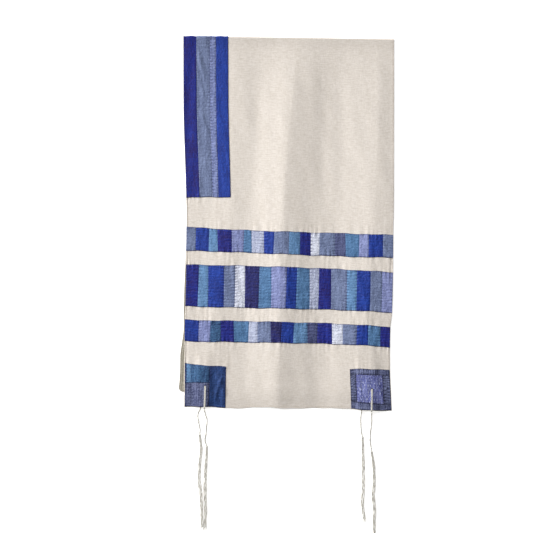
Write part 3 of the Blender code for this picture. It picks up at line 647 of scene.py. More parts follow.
# the wrong side: the ivory silk with darker colours, which are painted shade for the back layer's strip
# beside the front layer, and a darker painted shade tone
RAW_SHADED_REVERSE = {**RAW, "painted_shade_tone": ("57513F", 0.9)}
RAW_SILK_SHADED_REVERSE = woven_silk("raw_silk_ivory_reverse_painted_shade", "A6A092", "C8C2B4", **RAW_SHADED_REVERSE)
SILK = {name: woven_silk(f"dupion_silk_{name}", *threads) for name, threads in {
    "indigo": ("211A62", "1A2C8C"),
    "navy": ("1D1A4A", "242A6E"),
    "royal": ("192E7C", "1F42A2"),
    "steel": ("446992", "5C84B0"),
    "light_steel": ("557BA6", "6E96C1"),
    "slate": ("606C8D", "7C89AC"),
    "soft_lavender": ("6E7AAA", "8D98C4"),
    "lavender": ("737BAB", "929BC9"),
    "white_lilac": ("BCC1D5", "E9ECF7"),
    "pale": ("989EBA", "C2C9DE"),
    "dusk": ("3C4268", "5A6188"),
    "navy_teal": ("1C305C", "33508A"),
}.items()}
SILK["teal"] = woven_silk("dupion_silk_teal", "243F66", "416891", mottle=3.0)
SILK["dusk_grey"] = woven_silk("dupion_silk_dusk_grey", "3F4568", "767DA0", painted_shade_tone=("12142C", 0.9), mottle=2.2)
SILK["lilac"] = woven_silk("crushed_silk_lilac", "555B98", "7D83BA", glints="C4CAE8", rumple=(4 * MM, 9 * MM))
print("silks", sorted(SILK))

# %% Thread and yarn
def spun_thread(name, hex_colour, roughness):
    """Spun thread: matt, softly mottled and a little fuzzy, with painted shade where the seam attribute is 1.
    """
    material, tree, shader = blank(name)
    place = node(tree, "ShaderNodeTexCoord").outputs["Object"]
    fuzz = node(tree, "ShaderNodeTexNoise", {"Scale": 1 / (0.8 * MM), "Detail": 3.0}, {"Vector": place})
    fuzz = fuzz.outputs["Fac"]
    blend = mixed(tree, fuzz, linear(hex_colour, 0.9), linear(hex_colour, 1.05))
    # painted shade: darker towards a third of the yarn's colour where the seam attribute is high
    groove = node(tree, "ShaderNodeAttribute", {"attribute_name": "seam"}).outputs["Fac"]
    tree.links.new(mixed(tree, groove, blend, linear(hex_colour, 0.36)), shader.inputs["Base Color"])
    bump(tree, shader, fuzz, 0.5, 0.1 * MM)
    shader.inputs["Roughness"].default_value = roughness
    shader.inputs["Sheen Weight"].default_value = 0.3
    return material

YARN = spun_thread("wool_yarn_undyed", "DDDAD1", 0.85)
HEM_THREAD = spun_thread("cotton_thread_ivory", "D6CCC0", 0.7)
BLUE_THREAD = spun_thread("polyester_thread_navy", "262B5E", 0.5)
print("yarn and threads ready")

# %% [markdown]
# ## The main cloth
#
# One straight length of raw silk with a narrow hem turned in all round. The grid has lines close
# together at the edges, where the hem is, and every few millimetres between them. A mesh attribute
# called seam holds painted shade: dark lines along the hem's stitching and at the cloth's edge, and two
# lines down each side of the back end.

# %% Fine lines along and across
EDGE_STEPS = np.array([0, 0.4, 1.0, 1.8, 2.6, 3.1, 3.6, 4.1, 4.7, 6.4, 7.6, 9.5]) * MM
STITCH_IN = EDGE_STEPS[5]              # the hem's stitches run this far from the edge
ROLL_LINES = 13


def close_steps(length, spacing, steps):
    """Places from 0 to length: the close steps at both ends and even ones between them."""
    count = max(2, round((length - 2 * steps[-1]) / spacing) + 1)
    even = np.linspace(steps[-1], length - steps[-1], count)
    return np.concatenate([steps[:-1], even, length - steps[-2::-1]])


def hem_shape(edge):
    """Extra half thickness at a distance from the edge: the fold, less its groove and its round edge."""
    groove = 0.42 * MM * bell(edge - STITCH_IN, 0.55 * MM)
    roundness = 0.75 * (CLOTH_HALF + 0.3 * MM) * (1 - ramp(edge, -0.2 * MM, 1.0 * MM))
    return hem_fold(edge) - groove - roundness

along = close_steps(2 * HEM_RHO + ROLL, 7.8 * MM, EDGE_STEPS) - HEM_RHO
off_roll = (along < -1 * MM) | (along > ROLL + 1 * MM)
along = np.unique(np.concatenate([along[off_roll], np.linspace(0, ROLL, ROLL_LINES)]).round(7))
for line, _, _ in GATHERED:            # the gathers bend sharply at their seams, so lines go there
    for seam_at in (-RHO[line], RHO[line] + ROLL):
        along[np.argmin(np.abs(along - seam_at))] = seam_at
across = close_steps(CUT_WIDTH, 3.8 * MM, EDGE_STEPS) / CUT_WIDTH
share = np.repeat(across[None], len(along), axis=0)
edge = from_edge(along, share)
rolled_edge = 0.05 * MM * np.sin(share * 97 + along[:, None] * 140) * (edge < HEM_WIDTH)
half = CLOTH_HALF + hem_shape(edge) + rolled_edge
uv = np.stack([share * CUT_WIDTH, np.repeat(along[:, None], len(across), axis=1)], axis=-1)
# painted shade: darker along the hem's stitched groove and at the cloth's very edge
hem_shade = 0.55 * bell(edge - STITCH_IN, 1.1 * MM) + 0.35 * bell(edge, 0.7 * MM)
# painted shade on the back end's sides: a dark line at each edge and another 7.6 mm in, standing for the
# shade at the strip's edge and under the front layer's edge
from_side = np.minimum(share, 1 - share) * CUT_WIDTH
pressed = 0.9 * bell(from_side - EDGE_STEPS[-2], 1.2 * MM) + 0.6 * bell(from_side, 1.6 * MM)
hem_shade = np.where(along[:, None] > ROLL, np.maximum(hem_shade, pressed), hem_shade)
cloth, right_side_faces = wall_piece("cloth_silk", sheet_points(along, share, half),
                                     sheet_points(along, share, -half), uv, seam=hem_shade)
print("cloth", len(along), "by", len(across), "lines,", len(cloth.data.polygons), "faces")

# %% The wrong side of the cloth takes a darker copy of the silk, as painted shade
slots = np.zeros(len(cloth.data.polygons), np.int32)
slots[right_side_faces:2 * right_side_faces] = 1
dress(cloth, (RAW_SILK, RAW_SILK_SHADED_REVERSE), "ivory_raw_silk", "cloth")
cloth.data.polygons.foreach_set("material_index", slots)
print("reverse faces", int(slots.sum()))

# %% [markdown]
# ## Pieces sewn on the cloth
#
# A sewn silk piece is never quite flat. It swells a little between its seams, dips along each seam,
# puckers where the thread pulls it, and has a row of top stitching just inside its edge. Each of these
# is a small height added to a smooth panel. The panel's grid is bent so that its lines follow the seams,
# and each stretch between two seams takes its own silk. The seam attribute holds painted shade: it is 1
# along stitched edges and deep in a pucker's trough, where little light reaches.

# %% The relief of a sewn piece
SEAM_DEPTH = 0.50 * MM                 # of the groove at a seam, and its half width
SEAM_HALF = 1.0 * MM
CROWN, CROWN_FADE = 0.28 * MM, 3 * MM  # how much a silk swells between its seams, and how soon
PUCKER = 0.34 * MM                     # how high its ripples are, and how far apart
PUCKER_PITCH = 7.0 * MM
SEWN_STEPS = np.array([0, 0.5, 1.1, 1.7, 2.3, 3.2]) * MM      # lines close to a piece's own edges
TOPSTITCH = 2                          # the one that its top stitching runs along
THINNEST = 0.5 * MM                    # a piece is never thinner than this
FAR_RIPPLE = 0.25                      # the share of a ripple's height that is left far from any seam
RIPPLE_REACH = 6 * MM                  # how far ripples run from the seams between two silks,
EDGE_REACH = 5 * MM                    # and gathers from a piece's own top and bottom
EDGE_GATHER = 5.6 * MM                 # how far apart those gathers are
WRINKLES = 9
WRINKLE_STEEPNESS = 0.0045             # height of a slanted wrinkle as a share of its length


def sewn_relief(along_m, across_m, seams, height, draw, pucker, wrinkle, joints, creases):
    """Height added to a panel, in metres.

    along_m and across_m are each point's distances from the panel's top and left, and seams holds the
    distance of every seam from the left, a column for each. It is a crown between seams, less a groove
    at each seam and edge, plus ripples that cross the silk and stand highest at its seams, plus slanted
    wrinkles. joints say how deep the first and last grooves are, and creases are given one by one.
    Also returned is how deep in a ripple's trough each point lies, from 0 to 1, which is painted as shade.
    """
    away = np.abs(across_m[..., None] - seams[:, None, :])
    nearest, which = away.min(axis=-1), away.argmin(axis=-1)
    count = seams.shape[1]
    phase = draw.uniform(0, 2 * math.pi, count)[which]
    pitch = PUCKER_PITCH * draw.uniform(0.85, 1.25, count)[which]
    strength = pucker * draw.uniform(0.5, 1.3, count)[which]
    deep = np.ones(count)
    deep[[0, -1]] = joints
    end = np.minimum(along_m, height - along_m)
    crown = CROWN * np.tanh(nearest / CROWN_FADE) * np.tanh(end / CROWN_FADE)
    groove = deep[which] * SEAM_DEPTH * bell(nearest, SEAM_HALF)
    wander = phase + 0.9 * np.sin(along_m / (11 * MM)) + 1.2 * np.sin(across_m / (8 * MM) + phase)
    reach = FAR_RIPPLE + (1 - FAR_RIPPLE) * np.exp(-nearest / (RIPPLE_REACH * max(1, pucker / 2)))
    wave = sine(along_m, pitch, wander)
    ripple = strength * PUCKER * reach * wave
    trough = np.clip(0.5 * strength, 0, 1) * (reach - FAR_RIPPLE) / (1 - FAR_RIPPLE) * np.clip(-wave, 0, 1)
    turned = 0.5 * PATCH_WALL * bell(end, 0.7 * MM)
    stitched = 0.2 * MM * bell(end - SEWN_STEPS[TOPSTITCH], 0.5 * MM)
    gathered = sine(across_m, EDGE_GATHER, 1.7 * np.sin(across_m / (17 * MM)))
    near_end = np.exp(-end / EDGE_REACH)
    gather = pucker * PUCKER * near_end * gathered
    trough = np.maximum(trough, min(0.3 * pucker, 1) * near_end * np.clip(-gathered, 0, 1) ** 1.5)
    slanted = 0
    for _ in range(WRINKLES):
        angle, length = draw.normal(0.1, 0.35), draw.uniform(9, 34) * MM
        run = across_m * math.cos(angle) + along_m * math.sin(angle)
        slanted = slanted + WRINKLE_STEEPNESS * wrinkle * length * sine(run, length, draw.uniform(0, 6.3))
    placed = sum(crease_height(along_m, across_m, *(np.array(crease) * MM)) for crease in creases)
    return crown - groove + ripple - turned - stitched + gather + slanted + placed, trough


def crease_height(along_m, across_m, along_0, across_0, along_1, across_1, height, half_width):
    """A crease between two places of a panel: a ridge, or a trough if height is negative, with soft ends."""
    length = math.hypot(along_1 - along_0, across_1 - across_0)
    way = ((along_1 - along_0) / length, (across_1 - across_0) / length)
    run = (along_m - along_0) * way[0] + (across_m - across_0) * way[1]
    off = (along_m - along_0) * way[1] - (across_m - across_0) * way[0]
    return height * bell(off, half_width) * plateau(run, 0, 0.3 * length, 0.7 * length, length)


def lines_of(layer_name, top, bottom, spacing):
    """Distances along the cloth from one named line to another, close together at both ends."""
    rho = RHO[top] + close_steps(RHO[bottom] - RHO[top], spacing, SEWN_STEPS)
    return place_on(layer_name, rho[::-1] if layer_name == "front" else rho)

print("a band of 59 mm has", len(lines_of("front", "upper_top", "upper_bottom", 2.2 * MM)), "lines")

# %% A row of silks as one piece
sewn, top_stitching = [], {"front": [], "back": []}
ALL, NONE, FIRST, LAST = (True, True), (False, False), (True, False), (False, True)   # stitched edges


def sewn_piece(name, s_rows, left, right, pieces, slot, nodes, seed, tilt=0.0, spacing=2.0 * MM, pucker=1.0,
               wrinkle=1.0, sides=ALL, ends=ALL, joints=(1.0, 1.0), creases=(),
               inner_shade=0.2, slubs_across=False):
    """A row of silks sewn side by side and laid on the cloth, as one closed wall.

    s_rows are the distances along the cloth of its lines, left and right the shares of the width that
    bound each line, and pieces the silks with their widths. Each seam leans by up to tilt, in metres.
    sides and ends say which of its edges are top stitched, which get full painted shade; the others
    get painted shade of strength inner_shade. The silks' slubs run along the cloth, or across it if
    slubs_across is set.
    """
    draw = np.random.default_rng(seed)
    widths = np.array([width for _, width in pieces], float)
    bounds = np.concatenate([[0], np.cumsum(widths)]) / widths.sum()
    run = s_rows - s_rows[0]
    span = (right - left) * CUT_WIDTH
    lean = draw.uniform(-1, 1, len(bounds)) * tilt
    lean[[0, -1]] = 0
    seams = bounds[None] * span[:, None] + lean[None] * (run / run[-1] - 0.5)[:, None]
    real = np.diff(bounds) * span.mean()
    near_seam = SEWN_STEPS if len(pieces) == 1 else SEWN_STEPS[[0, 1, 2, 4]]
    parts = [close_steps(width, spacing, near_seam) / width for width in real]
    number = np.concatenate([np.full(len(part) - 1, k) for k, part in enumerate(parts)] + [[len(pieces) - 1]])
    within = np.concatenate([part[:-1] for part in parts] + [[1.0]])
    across_m = seams[:, number] * (1 - within) + seams[:, number + 1] * within
    share_grid = left[:, None] + across_m / CUT_WIDTH
    along_m = np.repeat(run[:, None], len(number), axis=1)
    relief, trough = sewn_relief(along_m, across_m, seams, run[-1], draw, pucker, wrinkle, joints, creases)
    base = CLOTH_HALF + SEAM_GAP + hem_fold(from_edge(s_rows, share_grid))
    top = sheet_points(s_rows, share_grid, base + np.maximum(PATCH_WALL + relief, THINNEST))
    low = sheet_points(s_rows, share_grid, base)
    # painted shade for the seam attribute: dark in the ripples' troughs, faint along the seams between silks,
    # and along every edge, in full where it is top stitched
    to_seam = np.abs(across_m[..., None] - seams[:, None, 1:-1]).min(axis=-1, initial=1.0)
    shade = [1.1 * trough, 0.15 * bell(to_seam, 0.9 * MM)]
    off_edges = (along_m, run[-1] - along_m, across_m, seams[:, -1:] - across_m)
    k = TOPSTITCH
    stitch_lines = (top[k, k:-k], top[-1 - k, k:-k], top[k:-k, k], top[k:-k, -1 - k])
    for stitched, off_edge, line in zip((*ends, *sides), off_edges, stitch_lines):
        shade.append((1.0 if stitched else inner_shade) * bell(off_edge, 1.7 * MM))
        if stitched:
            top_stitching["front" if s_rows[0] < 0 else "back"].append(line)
    uv_grid = np.stack([across_m + 3.7 * seed * MM, along_m + seed * 0.1], axis=-1)
    if slubs_across:
        uv_grid = uv_grid[..., ::-1]
    piece, _ = wall_piece(name, top, low, uv_grid, 0.15 * MM, seam=np.minimum(np.max(shade, axis=0), 1))
    silks = list(dict.fromkeys(silk for silk, _ in pieces))
    dress(piece, [SILK[silk] for silk in silks], slot, *nodes)
    of_column = np.array([silks.index(pieces[k][0]) for k in number[:-1]], np.int32)
    side_faces = len(s_rows) - 1
    face_silk = np.tile(of_column, side_faces)
    rim = np.concatenate([of_column, np.full(side_faces, of_column[-1]), of_column[::-1],
                          np.full(side_faces, of_column[0])])
    piece.data.polygons.foreach_set("material_index", np.concatenate([face_silk, face_silk, rim, rim]))
    sewn.append(piece)
    print(name, len(piece.data.polygons), "faces")
    return piece

# %% [markdown]
# ## The bands
#
# Each end of the cloth has three bands across it, and each band is pieced from many narrow silks. The
# order and widths here are a plain made-up run of blues. Seams that lean a little look hand cut. The
# bands reach just past the cloth's side edges, so no ivory line is left there.

# %% Silks of each band, with their widths in mm
BANDS = {
    "upper": (("slate", 24), ("royal", 33), ("light_steel", 22), ("indigo", 36), ("lavender", 30),
              ("steel", 20), ("pale", 31), ("royal", 25), ("slate", 38), ("light_steel", 28),
              ("indigo", 27), ("white_lilac", 22), ("slate", 40), ("dusk", 26), ("steel", 34),
              ("lavender", 24), ("royal", 36), ("slate", 26)),
    "middle": (("indigo", 30), ("light_steel", 24), ("royal", 38), ("slate", 27), ("white_lilac", 24),
               ("navy", 34), ("steel", 30), ("lavender", 36), ("royal", 25), ("steel", 32), ("pale", 22),
               ("indigo", 30), ("slate", 38), ("light_steel", 24), ("royal", 33), ("slate", 28),
               ("lavender", 26)),
    "lower": (("royal", 34), ("lavender", 28), ("teal", 26), ("indigo", 32), ("steel", 36), ("pale", 22),
              ("slate", 32), ("navy", 26), ("royal", 30), ("light_steel", 34), ("dusk", 24), ("indigo", 36),
              ("white_lilac", 26), ("slate", 34), ("royal", 28), ("steel", 30), ("indigo", 24)),
}
OVERHANG = 0.0004                      # the bands reach this share of the width past the cloth's edges
for number, (place, pieces) in enumerate(BANDS.items()):
    for layer_name, spacing in (("front", 1.9 * MM), ("back", 4.0 * MM)):
        rows = lines_of(layer_name, f"{place}_top", f"{place}_bottom", spacing)
        left_share = np.full(len(rows), -OVERHANG)
        order = pieces if layer_name == "front" else pieces[::-1]
        seed = 11 + number + 10 * (layer_name == "back")
        sewn_piece(f"band_{layer_name}_{place}_silk", rows, left_share, 1 - left_share, order,
                   "pieced_blue_silk", [f"band_{layer_name}_{place}"], seed, tilt=2.2 * MM, spacing=spacing,
                   pucker=1.6, sides=NONE, slubs_across=True)

# %% [markdown]
# ## The neckband
#
# Four long strips run down one long edge of the cloth and over the fold. Each strip is a piece of its
# own, because each stands for one solid, and their edges meet at the seams.

# %% Four strips over the fold
NECK_SEAM = 0.0004                     # half the gap at each seam, as a share of the width
CLOSE = len(SEWN_STEPS)                # lines that are left out where the strips turn over the fold,
TURN_LINES = 15                        # and how many take their place
neck_rows = np.concatenate([lines_of("front", "fold", "neckband_end", 2.6 * MM)[:-CLOSE],
                            np.linspace(0, ROLL, TURN_LINES),
                            lines_of("back", "fold", "neckband_end", 5.0 * MM)[CLOSE:]])
neck_rho = np.where(neck_rows <= 0, -neck_rows, np.maximum(neck_rows - ROLL, 0))
# a crease: how far along the strip and across it both ends are, its height, and its half width, in mm
SLATE_CREASES = ((378, 2, 300, 22, 1.3, 5.0), (352, 2, 240, 30, -0.9, 4.0), (230, 6, 150, 26, 0.7, 5.0),
                 (120, 24, 40, 8, 0.6, 5.0))
# the columns that bound each strip, its silk, slot, pucker, wrinkle, stitched sides, grooves and creases
NECK_STRIPS = (
    ("left_edge", "neck_seam_1", "indigo", "indigo_silk", 0.7, 1.0, FIRST, (1.0, 0.8), ()),
    ("neck_seam_1", "left_eyelet", "slate", "slate_silk", 1.3, 1.5, NONE, (0.8, 0.2), SLATE_CREASES),
    ("left_eyelet", "neck_seam_3", "soft_lavender", "lavender_silk", 3.2, 1.6, NONE, (0.2, 0.8), ()),
    ("neck_seam_3", "neckband_edge", "royal", "royal_silk", 0.7, 1.0, LAST, (0.8, 1.0), ()),
)
for number, (left_name, right_name, silk, slot, *form) in enumerate(NECK_STRIPS):
    pucker, wrinkle, sides, joints, creases = form
    left_share = column_share(left_name, neck_rho) + NECK_SEAM
    right_share = column_share(right_name, neck_rho) - NECK_SEAM
    name = f"neckband_strip_{number + 1}"
    sewn_piece(f"{name}_silk", neck_rows, left_share, right_share, ((silk, 1),), slot, [name], 41 + number,
               spacing=2.2 * MM, pucker=pucker, wrinkle=wrinkle, sides=sides, joints=joints, creases=creases)

# %% [markdown]
# ## The corner squares
#
# The left square is sewn from three pieces, the top one of three silks itself. The right one is a framed
# square, gathered a little at its frame. The squares on the back end are plain. Each has an eyelet for
# its tassel.

# %% Squares on the four corners
PIECED = (("navy_teal", 4), ("light_steel", 11), ("teal", 46))
TEAL, NAVY_TEAL, DUSK_GREY, LILAC = ([(silk, 1)] for silk in ("teal", "navy_teal", "dusk_grey", "lilac"))
# the lines and columns that bound each piece, its silks, slot, pucker, wrinkle, and stitched sides and ends
SQUARES = {
    "corner_left_top": ("square_top", "left_seam", "left_hem", "neck_seam_3", PIECED, "teal_silk",
                        1.5, 1.5, FIRST, LAST),
    "corner_left_low": ("left_seam", "square_end", "left_hem", "neck_seam_3", DUSK_GREY, "slate_silk",
                        1.4, 1.5, FIRST, FIRST),
    "corner_left_side": ("square_top", "square_end", "neck_seam_3", "neckband_edge", NAVY_TEAL, "royal_silk",
                         1.4, 2.0, LAST, ALL),
    "corner_right_inset": ("inset_top", "inset_bottom", "inset_left", "inset_right", LILAC, "lavender_silk",
                           1.4, 2.6, ALL, ALL),
    "corner_right_top": ("square_top", "inset_top", "right_square", "right_hem", DUSK_GREY, "teal_silk",
                         2.4, 1.3, NONE, LAST),
    "corner_right_low": ("inset_bottom", "square_end", "right_square", "right_hem", DUSK_GREY, "teal_silk",
                         2.4, 1.3, NONE, FIRST),
    "corner_right_inner": ("inset_top", "inset_bottom", "right_square", "inset_left", DUSK_GREY, "teal_silk",
                           3.4, 1.3, FIRST, NONE),
    "corner_right_outer": ("inset_top", "inset_bottom", "inset_right", "right_hem", DUSK_GREY, "teal_silk",
                           3.4, 1.3, LAST, NONE),
    "corner_back_left": ("square_top", "square_end", "left_hem", "neckband_edge", TEAL, "teal_silk",
                         1.0, 1.2, ALL, ALL),
    "corner_back_right": ("square_top", "square_end", "right_square", "right_hem", TEAL, "teal_silk",
                          1.0, 1.2, ALL, ALL),
}
SQUARE_CREASES = {
    "corner_left_side": ((8, 14, 92, 34, 1.5, 4.0), (30, 4, 96, 12, -1.0, 4.0), (4, 36, 60, 42, 0.8, 3.5)),
    "corner_right_inset": ((0, 34, 40, 41, 1.0, 2.5), (6, 12, 66, 10, 0.9, 2.2), (4, 63, 60, 61, 1.0, 1.8)),
}
SQUARE_SEAM = 0.0003                   # half the gap at each seam, as a share of the width
squares = {}
for number, (name, (top, bottom, left_name, right_name, silks, slot, *form)) in enumerate(SQUARES.items()):
    pucker, wrinkle, sides, ends = form
    layer_name = "back" if "back" in name else "front"
    rows = lines_of(layer_name, top, bottom, 1.8 * MM)
    rho = -rows if layer_name == "front" else rows - ROLL
    left_share = column_share(left_name, rho) + SQUARE_SEAM
    right_share = column_share(right_name, rho) - SQUARE_SEAM
    squares[name] = sewn_piece(f"{name}_silk", rows, left_share, right_share, silks, slot, [name],
                               61 + number, spacing=1.7 * MM, pucker=pucker, wrinkle=wrinkle, sides=sides,
                               ends=ends, creases=SQUARE_CREASES.get(name, ()), inner_shade=0.85)

# %% [markdown]
# ## Eyelets
#
# Each tassel hangs from a hole worked like a buttonhole: a ring of thread bound over the hole's edge.
# The hole is cut with a Boolean, which is applied at once so that the piece is plain mesh again, and the
# ring is a torus whose thickness swells at every turn of the thread.

# %% Holes through the cloth and the squares
EYELET_RADIUS = 2.8 * MM
EYELETS = {
    "front_left": ("front", "left_eyelet", "corner_left_low"),
    "back_left": ("back", "left_eyelet", "corner_back_left"),
    "front_right": ("front", "right_eyelet", "corner_right_inset"),
    "back_right": ("back", "right_eyelet", "corner_back_right"),
}


def point_at(layer_name, rho, share):
    """The cloth's middle point at one distance along it and one share across."""
    return middle(np.array([place_on(layer_name, rho)]), np.array([[share]]))[0, 0]


def punch(piece, place, radius, reach):
    """Cut a round hole through a piece, straight down."""
    bpy.ops.mesh.primitive_cylinder_add(vertices=32, radius=radius, depth=2 * reach, location=place)
    cutter = bpy.context.active_object
    hole = piece.modifiers.new("hole", "BOOLEAN")
    hole.operation, hole.object, hole.solver = "DIFFERENCE", cutter, "EXACT"
    depsgraph = bpy.context.evaluated_depsgraph_get()
    cut_mesh = bpy.data.meshes.new_from_object(piece.evaluated_get(depsgraph), depsgraph=depsgraph)
    piece.modifiers.remove(hole)
    old, piece.data = piece.data, cut_mesh
    bpy.data.meshes.remove(old)
    bpy.data.objects.remove(cutter, do_unlink=True)

eyelet_at = {}
for name, (layer_name, column, square) in EYELETS.items():
    eyelet_at[name] = point_at(layer_name, RHO["eyelets"], float(column_share(column, RHO["eyelets"])))
    for piece in (cloth, squares[square]):
        punch(piece, eyelet_at[name], EYELET_RADIUS, 3.0 * MM)
print({name: tuple(float(round(v, 4)) for v in place) for name, place in eyelet_at.items()})

# %% A ring of thread round each eyelet
def torus(centre, major, minor, swell, count, around, sides):
    """A ring lying flat, major from its centre and minor x (1 + swell cos(count a)) thick at the angle a."""
    a, b = np.meshgrid(np.linspace(0, 2 * math.pi, around, endpoint=False),
                       np.linspace(0, 2 * math.pi, sides, endpoint=False), indexing="ij")
    thick = minor * (1 + swell * np.cos(count * a))
    out = major + thick * np.cos(b)
    points = np.stack([out * np.cos(a), out * np.sin(a), 0.8 * thick * np.sin(b)], -1) + centre
    return points.reshape(-1, 3), ring_faces(around, sides, True, True)


def ring_faces(rings, sides, closed_along, quads=False):
    """Faces between rings of points, as quads or triangles; the last ring meets the first if closed."""
    index = np.arange(rings * sides).reshape(rings, sides)
    here = index if closed_along else index[:-1]
    ahead = np.roll(index, -1, axis=0) if closed_along else index[1:]
    here_next, ahead_next = np.roll(here, -1, axis=1), np.roll(ahead, -1, axis=1)
    if quads:
        return np.stack([here, ahead, ahead_next, here_next], -1).reshape(-1, 4)
    return np.concatenate([np.stack([here, ahead_next, here_next], -1).reshape(-1, 3),
                           np.stack([here, ahead, ahead_next], -1).reshape(-1, 3)])


def joined(parts):
    """Several (points, faces) pairs as one pair."""
    starts = np.cumsum([0] + [len(points) for points, _ in parts[:-1]])
    return (np.concatenate([points for points, _ in parts]),
            np.concatenate([faces + start for (_, faces), start in zip(parts, starts)]))

RING_MAJOR = EYELET_RADIUS + 0.3 * MM
RING_MINOR = 0.55 * MM
BOUND = {"swell": 0.16, "count": 46, "around": 368, "sides": 8}        # 46 turns of thread, 8 rings for each
right_side = CLOTH_HALF + SEWN_LIFT + 0.1 * MM
for name, (layer_name, _, _) in EYELETS.items():
    x, y, z = eyelet_at[name]
    levels = (right_side, -CLOTH_HALF) if layer_name == "front" else (-right_side, CLOTH_HALF)
    rings = [torus((x, y, max(z + level, RING_MINOR)), RING_MAJOR, RING_MINOR, **BOUND) for level in levels]
    ring = mesh_piece(f"eyelet_{name}", *joined(rings))
    dress(ring, (BLUE_THREAD,), "pieced_blue_silk")
    sewn.append(ring)
print("eyelets", len(EYELETS))

# %% [markdown]
# ## Tassels
#
# A tassel is four threads drawn through the eyelet and doubled to eight, tied with a double knot at the
# hem, wound with the longest thread, and knotted again after 7, 8, 11 and 13 turns. The eight ends then
# hang loose. A thread is two plies twisted together, so its section is a figure of eight that turns as
# it goes. Curves with a round bevel would lose that twist, so each thread is a swept surface here.

# %% Where the tassels lie: X and Y in mm, from the hem's knot to the last knot, and then to the ends
TASSELS = {
    "front_left": {
        "wound": ((-213.4, -650), (-210.6, -661), (-207, -674), (-208.6, -692), (-209.6, -707), (-212, -725),
                  (-207.8, -741)),
        "strands": ((-208, -763), (-210.5, -801), (-212, -852), (-210.8, -903), (-212.4, -956)),
    },
    "back_left": {
        "wound": ((-224, -611.5), (-222.4, -625), (-222.6, -641), (-228.4, -654), (-230.6, -665),
                  (-227.3, -684), (-224.8, -699), (-226, -711)),
        "strands": ((-222.8, -732), (-221.8, -750), (-224.8, -781), (-227.3, -821), (-223.9, -852),
                    (-220.8, -890), (-219.4, -956)),
    },
    "front_right": {
        "wound": ((210.6, -657), (210.8, -669), (210.3, -684), (207.8, -705), (207, -725), (210.6, -754)),
        "strands": ((214.4, -776), (217.2, -806), (217.2, -839), (214.8, -865), (218.2, -903), (217.2, -941),
                    (220, -981)),
    },
    "back_right": {
        "wound": ((199, -618), (192, -633.5), (185.4, -651), (182.9, -674), (184.1, -699), (187.6, -718)),
        "strands": ((188.7, -750), (189.7, -801), (189.2, -852), (187.6, -890), (191.4, -915), (194, -938)),
    },
}
KNOT_PLACES = (0.0, 0.18, 0.385, 0.667, 1.0)      # shares of the wound length
TURNS = (0, 7, 15, 26, 39)                        # turns of the winding thread up to each knot
OFF_FLOOR = 0.3 * MM
CORE_RADIUS = 1.35 * MM
CORE_TWIST = 24 * MM                              # the core's four lobes turn once in this length
WINDING = 0.68 * MM                               # how far the winding thread stands out
CORD_STEP, CORD_SIDES = 0.34 * MM, 14             # between rings of the swept cord, and points on each
KNOT_THREAD = 0.66 * MM
KNOT_STEPS = 64                                   # rings on the thread of a knot
KNOT_REACH = 3.2 * MM                             # the cord rises to its knots over this length,
KNOT_LIFT, LAST_KNOT_LIFT = 0.45 * MM, 0.7 * MM   # this much, and more to the last one
THREAD_SIDES = 8
STRAND_RADIUS, STRAND_STEP = 0.8 * MM, 0.9 * MM
UNEVEN = 0.012                                    # how uneven the eight ends are, as a share
BEND_LENGTHS = (19, 31, 57)                       # in mm, of each strand's own small waves
PLY_PITCH = 5.2 * MM
STRAND_PITCH = (1.5 * MM, 2.4 * MM, 1.8 * MM)     # between neighbours: at the knot, half way, at the ends
STRAND_LAYER = 1.75 * MM
SETTLED = 0.06                                    # share of its length in which a strand sinks to rest
LOOP_THREAD, LOOP_STEP = 0.56 * MM, 0.8 * MM
LOOP_AIR = 0.15 * MM                              # between a loop and the cloth
print("tassels", len(TASSELS), "turns of winding", TURNS[-1])

# %% Paths, and threads swept along them
def run_along(line):
    """The distance along a line of points, at each of them."""
    return np.concatenate([[0], np.cumsum(np.linalg.norm(np.diff(line, axis=0), axis=1))])


def points_at(at, length, line):
    """Points of a line at some distances along it."""
    return np.stack([np.interp(at, length, line[:, k]) for k in range(line.shape[1])], -1)


def smooth_path(points, spacing):
    """A path through the points (Catmull-Rom) with even steps, and the distance along it."""
    points = np.asarray(points, float)
    padded = np.concatenate([2 * points[:1] - points[1:2], points, 2 * points[-1:] - points[-2:-1]])
    place = np.linspace(0, len(points) - 1, 40 * len(points))
    span = np.minimum(place.astype(int), len(points) - 2)
    t = (place - span)[:, None]
    p0, p1, p2, p3 = (padded[span + k] for k in range(4))
    fine = 0.5 * (2 * p1 + (p2 - p0) * t + (2 * p0 - 5 * p1 + 4 * p2 - p3) * t ** 2
                  + (3 * p1 - p0 - 3 * p2 + p3) * t ** 3)
    length = run_along(fine)
    even = np.linspace(0, length[-1], max(3, int(length[-1] / spacing)))
    return points_at(even, length, fine), even


def sweep(path, radius, across=None):
    """A tube along a path: radius holds one value for each ring and each angle round it.

    A ring's first direction is across, or level and square to the path, and the ends shrink to points.
    """
    along = unit(np.gradient(path, axis=0))
    wide = unit(np.cross(along, (0, 0, 1)) if across is None else np.broadcast_to(across, path.shape))
    high = np.cross(wide, along)
    rings, sides = radius.shape
    angle = np.linspace(0, 2 * math.pi, sides, endpoint=False)
    radius = radius.copy()
    radius[[0, -1]] *= 0.02
    radius[[1, -2]] *= 0.75
    points = path[:, None] + radius[..., None] * (wide[:, None] * np.cos(angle)[:, None]
                                                  + high[:, None] * np.sin(angle)[:, None])
    return points.reshape(-1, 3), ring_faces(rings, sides, False)[:, ::-1]


def two_ply(length, radius, turn):
    """Radii of a two ply thread: a figure of eight section that turns once in each ply pitch."""
    angle = np.linspace(0, 2 * math.pi, THREAD_SIDES, endpoint=False)
    turned = angle[None] - 2 * math.pi * length[:, None] / PLY_PITCH + turn
    return radius * (0.72 + 0.28 * np.abs(np.cos(turned)))

print("a strand's plies turn once in", PLY_PITCH, "m")

